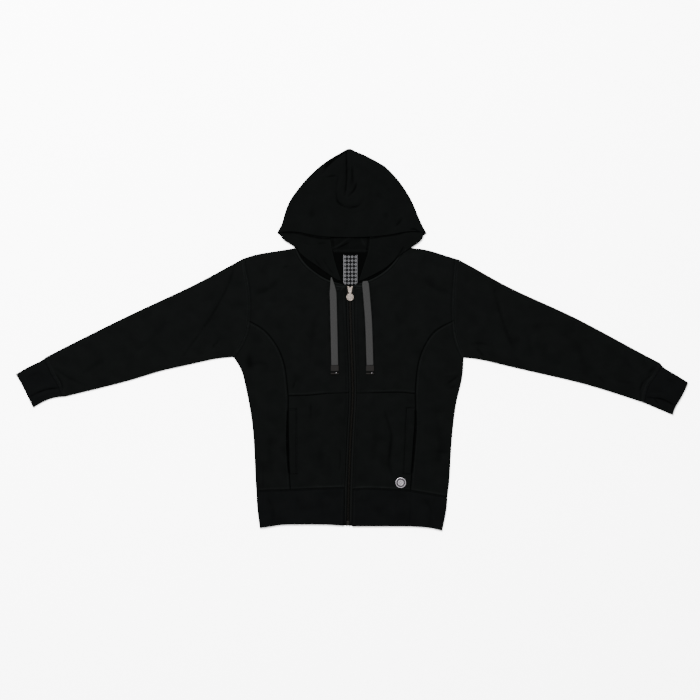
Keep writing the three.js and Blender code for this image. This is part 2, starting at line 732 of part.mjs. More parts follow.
// Slider and pull tab: the tab hangs on a bar between two ears and lies down along the zip
const slider = { top: 246.5, bottom: 233.7, half: 4.6, low: 3.4, high: 4.4, prongTop: 250 };
const hinge = { y: 238, z: 6.4, bar: 0.8, bore: 1.15, barrel: 1.7, inside: 3.0, ear: 1.2 };
const tab = { reach: 13.1, radius: 8.3, thick: 1.6, neck: 2.4 };

function zipSlider() {
  const outline = new THREE.Shape();
  outline.moveTo(-slider.half * 0.7, slider.bottom);
  outline.lineTo(slider.half * 0.7, slider.bottom);
  outline.lineTo(slider.half, slider.top - 4);
  outline.lineTo(slider.half * 1.3, slider.prongTop);
  outline.lineTo(slider.half * 0.75, slider.prongTop);
  outline.lineTo(0, slider.top);
  outline.lineTo(-slider.half * 0.75, slider.prongTop);
  outline.lineTo(-slider.half * 1.3, slider.prongTop);
  outline.lineTo(-slider.half, slider.top - 4);
  outline.closePath();
  const depth = slider.high - slider.low;
  const plate = new THREE.ExtrudeGeometry(outline, { depth, bevelEnabled: false });
  let body = solid(plate.translate(0, 0, slider.low));
  const earHeight = hinge.z + 1 - slider.high;
  for (const sign of [-1, 1]) {
    const ear = new THREE.BoxGeometry(hinge.ear, 3.4, earHeight + 0.4);
    ear.translate(sign * (hinge.inside + hinge.ear / 2), hinge.y, slider.high + earHeight / 2 - 0.2);
    body = body.add(solid(ear));
  }
  const bar = acrossX(hinge.bar, 2 * hinge.inside + hinge.ear, 14).translate(0, hinge.y, hinge.z);
  return geometryOf(body.add(solid(bar)));
}

// The tab is made round its hinge, so that it turns about the bar
function pullTab() {
  const disc = new THREE.CylinderGeometry(tab.radius, tab.radius, tab.thick, 40).rotateX(Math.PI / 2);
  const arm = new THREE.BoxGeometry(2 * tab.neck, tab.reach - tab.radius + 3, tab.thick);
  arm.translate(0, -(tab.reach - tab.radius + 3) / 2, 0);
  const barrel = acrossX(hinge.barrel, 2 * (hinge.inside - gap));
  const bore = acrossX(hinge.bore, 4 * hinge.inside);
  const body = solid(disc.translate(0, -tab.reach, 0)).add(solid(arm)).add(solid(barrel));
  return geometryOf(body.subtract(solid(bore)));
}

// Neck label, sewn to the back's inside below the neck seam, with its lower corners cut off
const label = { left: -15, right: 17, top: 322, bottom: 253, cut: 5, thick: 0.5 };
function neckLabel() {
  const shape = new THREE.Shape();
  shape.moveTo(label.left, label.top);
  shape.lineTo(label.left, label.bottom + label.cut);
  shape.lineTo(label.left + label.cut, label.bottom);
  shape.lineTo(label.right - label.cut, label.bottom);
  shape.lineTo(label.right, label.bottom + label.cut);
  shape.lineTo(label.right, label.top);
  shape.closePath();
  const plate = new THREE.ExtrudeGeometry(shape, { depth: label.thick, bevelEnabled: false });
  return plate.translate(0, 0, onBack);
}

// Round badge on the right lower front, just above the hem band
const badgeAt = { x: 116.6, y: -201.3, radius: 11.9, thick: 0.9 };
function badge() {
  const disc = new THREE.CylinderGeometry(badgeAt.radius - 0.4, badgeAt.radius, badgeAt.thick, 40);
  return disc.rotateX(Math.PI / 2).translate(badgeAt.x, badgeAt.y, frontTop + gap + badgeAt.thick / 2);
}

// Flat drawcords, which come out at the hood's face edge and lie down the fronts
const cord = { width: 16, thick: 1.8, steps: 14, tipLength: 20, tipWidth: 18, tipThick: 2.6 };
const cordLift = 0.15; // the fronts' own faces lie a little off their curved height
function cordPath(side) {
  const line = curve(seams[side].cord);
  const points = Array.from({ length: 15 }, (_, i) => {
    const p = line.getPointAt(i / 14);
    const under = [-0.5, -0.25, 0, 0.25, 0.5].map((k) => frontHeight(p.x + k * cord.width, p.y));
    return new THREE.Vector3(p.x, p.y, Math.max(...under) + gap + cordLift + cord.thick / 2);
  });
  return new THREE.CatmullRomCurve3(points);
}
function drawcord(side) {
  const half = cord.width / 2;
  const thin = cord.thick / 2;
  const round = 1.4;
  const section = new THREE.Shape();
  const corners = [
    [-thin * 0.5, -half], [thin * 0.5, -half], [thin, -half + round], [thin, half - round],
    [thin * 0.5, half], [-thin * 0.5, half], [-thin, half - round], [-thin, -half + round],
  ];
  corners.forEach(([x, y], i) => (i ? section.lineTo(x, y) : section.moveTo(x, y)));
  section.closePath();
  return new THREE.ExtrudeGeometry(section, { steps: cord.steps, extrudePath: cordPath(side) });
}
function cordTip(side) {
  const [x, y] = seams[side].cord.at(-1);
  const block = new THREE.Shape();
  const half = cord.tipWidth / 2;
  block.moveTo(x - half, y - gap);
  block.lineTo(x - half, y - gap - cord.tipLength);
  block.lineTo(x + half, y - gap - cord.tipLength);
  block.lineTo(x + half, y - gap);
  block.closePath();
  const depth = cord.tipThick;
  return new THREE.ExtrudeGeometry(block, { depth, bevelEnabled: false }).translate(0, 0, frontTop + gap);
}

add("back", backPanel(), clothLook());
add("hem_band_back", hemBandBack(), clothLook());
add("hood_back", hoodBack(), clothLook());
add("hood_crown", hoodCrown(), clothLook());
for (const side of ["left", "right"]) {
  add("front_upper_" + side, frontUpper(side), clothLook());
  add("front_lower_" + side, frontLower(side), clothLook());
  add("side_panel_" + side, sidePanel(side), clothLook());
  add("hem_band_" + side, hemBand(side), clothLook());
  add("sleeve_" + side, sleeve(side), clothLook());
  add("cuff_" + side, cuff(side), clothLook());
  add("hood_side_" + side, hoodSide(side), clothLook());
  add("zip_tape_" + side, zipTape(side), material(colours.cloth, 0.8));
  add("drawcord_" + side, drawcord(side), material(colours.tape, 0.9));
  add("cord_tip_" + side, cordTip(side), material(colours.tip, 0.6));
}
add("zip_chain", zipChain(), material(colours.chain, 0.5));
add("zip_slider", zipSlider(), metalLook());
add("pull_tab", pullTab(), metalLook()).position.set(0, hinge.y, hinge.z);
add("neck_label", neckLabel(), material(colours.label, 0.8));
add("badge", badge(), material(0xaca6ac, 0.35, 0.6));

export default hoodie;
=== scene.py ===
# Zip up hoodie laid flat: jersey, seams, zip, drawcords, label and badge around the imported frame.
# Sizes are in millimetres in the dictionaries and become metres through mm.
import math

import bmesh
import bpy
import numpy as np
from mathutils import Matrix, Vector, noise
from mathutils.bvhtree import BVHTree


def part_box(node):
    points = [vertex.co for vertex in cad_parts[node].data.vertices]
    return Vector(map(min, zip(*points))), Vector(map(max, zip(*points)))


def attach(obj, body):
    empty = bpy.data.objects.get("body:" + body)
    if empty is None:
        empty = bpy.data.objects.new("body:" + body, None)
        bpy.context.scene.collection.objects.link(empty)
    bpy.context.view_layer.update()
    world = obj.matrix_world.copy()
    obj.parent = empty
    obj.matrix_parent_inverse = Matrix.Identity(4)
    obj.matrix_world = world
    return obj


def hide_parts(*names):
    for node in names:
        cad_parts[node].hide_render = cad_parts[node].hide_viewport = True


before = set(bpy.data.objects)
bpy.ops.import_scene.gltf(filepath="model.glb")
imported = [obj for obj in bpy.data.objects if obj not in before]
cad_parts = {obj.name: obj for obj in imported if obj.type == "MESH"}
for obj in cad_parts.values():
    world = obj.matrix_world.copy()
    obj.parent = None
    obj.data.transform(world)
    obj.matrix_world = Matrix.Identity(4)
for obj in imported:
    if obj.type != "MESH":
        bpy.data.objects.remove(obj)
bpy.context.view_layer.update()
mm = 0.001
print("frame loaded")

# Camera: straight above, 2.3 mm to a pixel of the 700 pixel picture
camera = {"wide": 1610, "middleX": 0, "middleY": 103.5, "height": 5200, "sensor": 36}
cameraData = bpy.data.cameras.new("camera")
cameraData.sensor_width = camera["sensor"]
cameraData.lens = camera["sensor"] * camera["height"] / camera["wide"]
cameraData.clip_end = 50
cameraObject = bpy.data.objects.new("camera", cameraData)
cameraObject.location = (camera["middleX"] * mm, camera["middleY"] * mm, camera["height"] * mm)
bpy.context.collection.objects.link(cameraObject)
bpy.context.scene.camera = cameraObject


# Small helpers
def addPiece(name, bm, material, smooth=True):
    mesh = bpy.data.meshes.new(name)
    bm.to_mesh(mesh)
    bm.free()
    piece = bpy.data.objects.new(name, mesh)
    bpy.context.collection.objects.link(piece)
    mesh.materials.append(material)
    mesh.polygons.foreach_set("use_smooth", [smooth] * len(mesh.polygons))
    return piece


def everything(bm):
    return bm.verts[:] + bm.edges[:] + bm.faces[:]


def onlyVerts(geom):
    return [g for g in geom if isinstance(g, bmesh.types.BMVert)]


def sharpEdges(bm):
    return [e for e in bm.edges if e.is_manifold and e.calc_face_angle() > math.radians(40)]


def bevelEdges(bm, edges, size, segments=2, clamp=False):
    bmesh.ops.bevel(bm, geom=edges, offset=size * mm, affect="EDGES", segments=segments, profile=0.5,
                    material=-1, clamp_overlap=clamp)


def boxMatrix(sizes):
    return Matrix.Diagonal((*[s * mm for s in sizes], 1))


def takeNode(node):
    bm = bmesh.new()
    bm.from_mesh(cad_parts[node].data)
    bmesh.ops.remove_doubles(bm, verts=bm.verts, dist=1e-6)
    flat = math.radians(60)
    bmesh.ops.join_triangles(bm, faces=bm.faces, angle_face_threshold=flat, angle_shape_threshold=flat)
    return bm


def addWall(piece, thick):
    wall = piece.modifiers.new("Wall", "SOLIDIFY")
    wall.thickness = thick * mm
    wall.offset = -1
    return wall


def paint(piece, name, values):
    layer = piece.data.attributes.new(name, "FLOAT", "POINT")
    layer.data.foreach_set("value", values)


# Subdivides a piece and applies all its modifiers
def refine(piece, levels):
    fine = piece.modifiers.new("Fine", "SUBSURF")
    fine.levels = levels
    fine.render_levels = levels
    graph = bpy.context.evaluated_depsgraph_get()
    mesh = bpy.data.meshes.new_from_object(piece.evaluated_get(graph))
    piece.modifiers.clear()
    piece.data = mesh
    mesh.polygons.foreach_set("use_smooth", [True] * len(mesh.polygons))


# Sharp places of the outline, how near a vert must be to one to be held, and which edges are sharp
cornerReach = 3.5
sharpAngle = math.radians(48)
corners = [(-2, 565), (-769, 48), (-729, -29), (777, 30), (742, -46), (-208, -306),
           (212, -312), (-700, 87), (713, 74), (-246, 314), (246, 313), (-124, 339), (124, 339)]


def creaseEdges(bm, weight):
    layer = bm.edges.layers.float.new("crease_edge")
    held = bm.verts.layers.float.new("crease_vert")
    for edge in bm.edges:
        if edge.is_manifold and edge.calc_face_angle() > sharpAngle:
            edge[layer] = weight
    for vert in bm.verts:
        if any(math.hypot(vert.co.x / mm - x, vert.co.y / mm - y) < cornerReach for x, y in corners):
            vert[held] = 1


def points(piece):
    co = np.empty(len(piece.data.vertices) * 3)
    piece.data.vertices.foreach_get("co", co)
    return co.reshape(-1, 3) / mm


def movePoints(piece, co):
    piece.data.vertices.foreach_set("co", (co * mm).ravel())
    piece.data.update()


def ramp(value, low, high):
    t = np.clip((value - low) / (high - low), 0, 1)
    return t * t * (3 - 2 * t)


def lengthAlong(line):
    return np.concatenate([[0], np.cumsum(np.linalg.norm(np.diff(line, axis=0), axis=1))])


def placeAt(line, length, along):
    return [np.interp(along, length, line[:, axis]) for axis in range(line.shape[1])]


# A smooth line through a few places, with points a set step apart
def smoothLine(places, step):
    p = [Vector(q) for q in places]
    p = [2 * p[0] - p[1]] + p + [2 * p[-1] - p[-2]]
    fine = []
    for a, b, c, d in zip(p, p[1:], p[2:], p[3:]):
        for k in range(24):
            t = k / 24
            bend = (2 * a - 5 * b + 4 * c - d) * t * t + (3 * b - a - 3 * c + d) * t ** 3
            fine.append(0.5 * (2 * b + (c - a) * t + bend))
    fine.append(p[-2])
    fine = np.array([q[:] for q in fine])
    length = lengthAlong(fine)
    at = np.linspace(0, length[-1], max(2, round(length[-1] / step) + 1))
    return np.stack(placeAt(fine, length, at), axis=1)


def normalsOf(line):
    tangent = np.gradient(line, axis=0)
    tangent /= np.linalg.norm(tangent, axis=1)[:, None]
    return np.column_stack([-tangent[:, 1], tangent[:, 0]])


# Distance of many places to a line, and how far along it the nearest place is
def nearLine(xy, line):
    best = np.full(len(xy), 1e9)
    along = np.zeros(len(xy))
    start = 0.0
    for a, b in zip(line, line[1:]):
        d = b - a
        size = float(np.hypot(*d))
        t = np.clip(((xy - a) @ d) / (size * size), 0, 1)
        away = np.hypot(*(xy - a - t[:, None] * d).T)
        closer = away < best
        best[closer] = away[closer]
        along[closer] = start + t[closer] * size
        start += size
    return best, along


# Materials
def newMaterial(name, colour, roughness, metallic=0.0, sheen=0.0, specular=0.3):
    material = bpy.data.materials.new(name)
    material.use_nodes = True
    shader = material.node_tree.nodes["Principled BSDF"]
    shader.inputs["Base Color"].default_value = (*colour, 1)
    shader.inputs["Roughness"].default_value = roughness
    shader.inputs["Metallic"].default_value = metallic
    shader.inputs["Sheen Weight"].default_value = sheen
    shader.inputs["Sheen Roughness"].default_value = 0.5
    shader.inputs["Specular IOR Level"].default_value = specular
    return material, material.node_tree, shader


def addNode(tree, kind, values=None, **settings):
    node = tree.nodes.new(kind)
    for key, value in settings.items():
        setattr(node, key, value)
    for key, value in (values or {}).items():
        node.inputs[key].default_value = value
    return node


def mixColours(tree, factor, first, second):
    mix = addNode(tree, "ShaderNodeMix", data_type="RGBA")
    mix.inputs["A"].default_value = (*first, 1)
    mix.inputs["B"].default_value = (*second, 1)
    tree.links.new(factor, mix.inputs["Factor"])
    return mix.outputs["Result"]


def setColour(tree, shader, factor, first, second):
    tree.links.new(mixColours(tree, factor, first, second), shader.inputs["Base Color"])


# A texture on Object coordinates
def addTexture(tree, kind, values, **settings):
    place = addNode(tree, "ShaderNodeTexCoord")
    texture = addNode(tree, kind, values, **settings)
    tree.links.new(place.outputs["Object"], texture.inputs["Vector"])
    return texture.outputs["Fac"]


def calculate(tree, operation, *values):
    node = addNode(tree, "ShaderNodeMath", operation=operation)
    for slot, value in enumerate(values):
        if isinstance(value, (int, float)):
            node.inputs[slot].default_value = value
        else:
            tree.links.new(value, node.inputs[slot])
    return node.outputs[0]


def addBump(tree, shader, height, strength, distance):
    bump = addNode(tree, "ShaderNodeBump", {"Strength": strength, "Distance": distance * mm})
    tree.links.new(height, bump.inputs["Height"])
    tree.links.new(bump.outputs["Normal"], shader.inputs["Normal"])


# Brushed jersey: soft loops in columns, a fuzz over them and a slow change of tone
jersey = {
    "bodyColours": [(0.00059, 0.00066, 0.00064), (0.00102, 0.00115, 0.00112)],
    "bandColours": [(0.00056, 0.00062, 0.00064), (0.00097, 0.00104, 0.00107)],
    "loops": {"X": (1.1, 1.2), "Y": (0.8, 1.6)},  # pitch in mm and unevenness
    "fuzz": 900,
    "patch": 34,
    # The next two tints: how much lighter the painted highlight on seam ridges and raised folds is, and how
    # dark the painted shade in creases, seams and deep layers is
    "wearAndHighlightTint": 2.3,
    "paintedShadeTint": 0.05,
}


def jerseyMaterial(name, colours, sheen):
    colour, light = colours
    material, tree, shader = newMaterial(name, colour, 0.95, sheen=sheen, specular=0.004)
    columns, rows = [
        addTexture(tree, "ShaderNodeTexWave", {"Scale": 50 * math.pi / pitch, "Distortion": uneven,
                                               "Detail": 2.0, "Detail Scale": 3.0}, bands_direction=axis)
        for axis, (pitch, uneven) in jersey["loops"].items()
    ]
    fuzz = addTexture(tree, "ShaderNodeTexNoise", {"Scale": jersey["fuzz"], "Detail": 4.0, "Roughness": 0.7})
    patch = addTexture(tree, "ShaderNodeTexNoise", {"Scale": jersey["patch"], "Detail": 5.0, "Roughness": 0.6})
    nap = calculate(tree, "ADD", calculate(tree, "MULTIPLY", columns, rows), fuzz)
    shade = calculate(tree, "MULTIPLY", calculate(tree, "MULTIPLY", nap, 0.5), patch)
    stretch = addNode(tree, "ShaderNodeMapRange", {"From Min": 0.1, "From Max": 0.55})
    tree.links.new(shade, stretch.inputs["Value"])
    base = mixColours(tree, stretch.outputs["Result"], colour, light)
    # Painted highlight on seam ridges and raised folds, and painted shade in creases, seams, slits and deep
    # layers, both from the attributes painted on the cloth
    for painted, source in (("wearAndHighlight", light), ("paintedShade", colour)):
        attribute = addNode(tree, "ShaderNodeAttribute", attribute_name=painted)
        mix = addNode(tree, "ShaderNodeMix", data_type="RGBA")
        mix.inputs["B"].default_value = (*[jersey[painted + "Tint"] * c for c in source], 1)
        tree.links.new(base, mix.inputs["A"])
        tree.links.new(attribute.outputs["Fac"], mix.inputs["Factor"])
        base = mix.outputs["Result"]
    tree.links.new(base, shader.inputs["Base Color"])
    addBump(tree, shader, nap, 0.35, 0.35)
    return material


clothMaterial = jerseyMaterial("body_cloth", jersey["bodyColours"], 0.0012)
bandMaterial = jerseyMaterial("band_cloth", jersey["bandColours"], 0.0008)
threadMaterial, _, _ = newMaterial("sewing_thread", (0.0016, 0.0017, 0.0018), 0.7, specular=0.012)


# Twill tape for the cords
def tapeMaterial():
    material, tree, shader = newMaterial("cord_tape", (0.008, 0.008, 0.008), 0.85, sheen=0.006, specular=0.03)
    twill = addTexture(tree, "ShaderNodeTexWave", {"Scale": 240.0, "Distortion": 0.8, "Detail": 2.0},
                       bands_direction="DIAGONAL")
    fibre = addTexture(tree, "ShaderNodeTexNoise", {"Scale": 700.0, "Detail": 4.0})
    weave = calculate(tree, "MULTIPLY", twill, fibre)
    setColour(tree, shader, weave, (0.0033, 0.0033, 0.0033), (0.0124, 0.0124, 0.0123))
    addBump(tree, shader, twill, 0.6, 0.3)
    return material


cordMaterial = tapeMaterial()

# Drawcords: flat tape on the same route as its solid
cords = {
    "left": [(-43, 271), (-39, 235), (-37, 161), (-35, 68)],
    "right": [(35, 262), (39, 218), (43, 161), (46, 68)],
    "width": 16,
    "thick": 1.7,
    "thinEdge": 0.25,
    "startZ": 6.5,
    "step": 4,
    "across": 10,
    "leftStart": 0.12,  # share of the width where the cord comes out, and the length until it is full
    "leftTaper": 36,
    "rightStart": 0.7,
    "rightTaper": 7,
}


def drawcord(side):
    node = "drawcord_" + side
    solid = BVHTree.FromObject(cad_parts[node], bpy.context.evaluated_depsgraph_get())
    line = smoothLine(cords[side], cords["step"])
    heights = []
    for x, y in line:
        hit = solid.ray_cast(Vector((x * mm, y * mm, 1)), Vector((0, 0, -1)))[0]
        heights.append(hit.z / mm if hit else heights[-1] if heights else cords["startZ"])
    heights[0] = heights[1]
    middle = np.column_stack([line, np.array(heights) - cords["thick"] / 2])
    bm = bmesh.new()
    bmesh.ops.create_grid(bm, x_segments=cords["across"], y_segments=len(line) - 1, size=0.5)
    normals = normalsOf(line)
    start, taper = cords[side + "Start"], cords[side + "Taper"]
    for v in bm.verts:
        i = round((0.5 - v.co.y) * (len(line) - 1))
        fullness = start + (1 - start) * min(1, i * cords["step"] / taper) ** 0.8
        away = v.co.x * cords["width"] * fullness
        x, y, z = middle[i]
        lift = cords["thick"] / 2 - cords["thinEdge"] * abs(v.co.x * 2) ** 6
        v.co = Vector((x - normals[i][0] * away, y - normals[i][1] * away, z + lift)) * mm
    bmesh.ops.recalc_face_normals(bm, faces=bm.faces)
    if sum(f.normal.z for f in bm.faces) < 0:
        bmesh.ops.reverse_faces(bm, faces=bm.faces)
    piece = addPiece("cord_" + side, bm, cordMaterial)
    addWall(piece, cords["thick"]).use_even_offset = True
    refine(piece, 1)
    return piece, middle


cordPieces = {}
for side in ("left", "right"):
    cordPieces[side], route = drawcord(side)
    cords[side + "Route"] = route
print("cords made")

# Lines of the garment that the cloth is shaped and stitched along
seams = {
    "left": {
        "armhole": [(-246, 314), (-243, 286), (-237, 258), (-233, 218), (-234, 171), (-238, 145),
            (-251, 115), (-269, 87)],
        "neck": [(-124, 339), (-115, 317), (-100, 298), (-79, 281), (-51, 264), (-9, 252)],
        "panel": [(-234, 171), (-205, 155), (-186, 138), (-168, 113), (-156, 87), (-148, 56), (-142, -2),
            (-142, -34), (-143, -92), (-141, -150), (-137, -219)],
        "yoke": [(-142, -2), (-99, -1), (-57, 3), (-2, 5)],
        "hem": [(-216, -222), (-178, -220), (-137, -219), (-75, -216), (-12, -214)],
        "slit": [(-142.6, -37), (-144.4, -70), (-145, -100), (-143.6, -140), (-140, -178)],
        "cuff": [(-700, 87), (-683, 51), (-668, 25), (-656, -4)],
        "cuffEnd": [(-769, 48), (-757, 28), (-743, 0), (-729, -29)],
        "hoodEdge": [(-151, 389), (-157, 374), (-151, 360), (-129, 341), (-105, 317), (-76, 297),
            (-44, 274), (-30, 265)],
        "hoodRoll": [(-48, 389), (-45, 361), (-41, 334), (-33, 302), (-20, 262)],
        "hoodFace": [(-149, 373.5), (-126, 373), (-98, 367), (-69, 361), (-46, 360)],
        "pocketBox": [[(-142, -33), (-122, -33)], [(-123, -31), (-123.5, -100), (-123, -182)],
                      [(-139, -180.5), (-121, -180.5)]],
        "zipTop": [(-31, 249.6), (-12, 249.6)],
    },
    "right": {
        "armhole": [(246, 313), (243, 283), (240, 246), (238, 209), (239, 171), (241, 143), (248, 115),
            (261, 86)],
        "neck": [(124, 339), (115, 324), (97, 300), (76, 281), (46, 264), (9, 252)],
        "panel": [(239, 171), (214, 159), (193, 145), (176, 122), (162, 92), (154, 56), (150, 3),
            (151, -34), (149, -92), (143, -167), (139, -221)],
        "yoke": [(150, 3), (115, 6), (51, 5), (14, 4)],
        "hem": [(224, -235), (182, -228), (139, -221), (113, -219), (48, -216), (5, -218)],
        "slit": [(150.6, -37), (151.4, -70), (149.8, -100), (146.2, -140), (142, -178)],
        "cuff": [(713, 74), (702, 51), (687, 30), (678, 10), (672, -17)],
        "cuffEnd": [(777, 30), (775, 21), (761, -7), (747, -30), (742, -46)],
        "hoodEdge": [(159, 389), (166, 374), (161, 361), (148, 344), (118, 324), (80, 291), (41, 270),
            (30, 265)],
        "hoodRoll": [(46, 389), (46, 361), (43, 334), (34, 305), (20, 262)],
        "hoodFace": [(47, 360), (75, 364), (104, 368), (127, 374), (146, 376.5), (156, 374.5)],
        "pocketBox": [[(149, -29), (129, -29)], [(130, -31), (127, -100), (123, -181)],
                      [(139, -180.5), (122, -180.5)]],
        "zipTop": [(10, 250.5), (24, 250.5)],
    },
    "zip": [(0, 252), (0, 218), (3, 115), (6, 34), (6, -12), (1, -103), (-3, -209), (-5, -302)],
    "zipHalf": 8,
    "backNeck": [(-124, 339), (-92, 332), (-37, 331), (39, 331), (92, 332), (124, 339)],
    "backHem": [(-216, -222), (-137, -219), (-60, -216), (60, -217), (139, -221), (224, -235)],
}


def beside(places, distance, step=4):
    line = smoothLine(places, step)
    return line + distance * normalsOf(line)
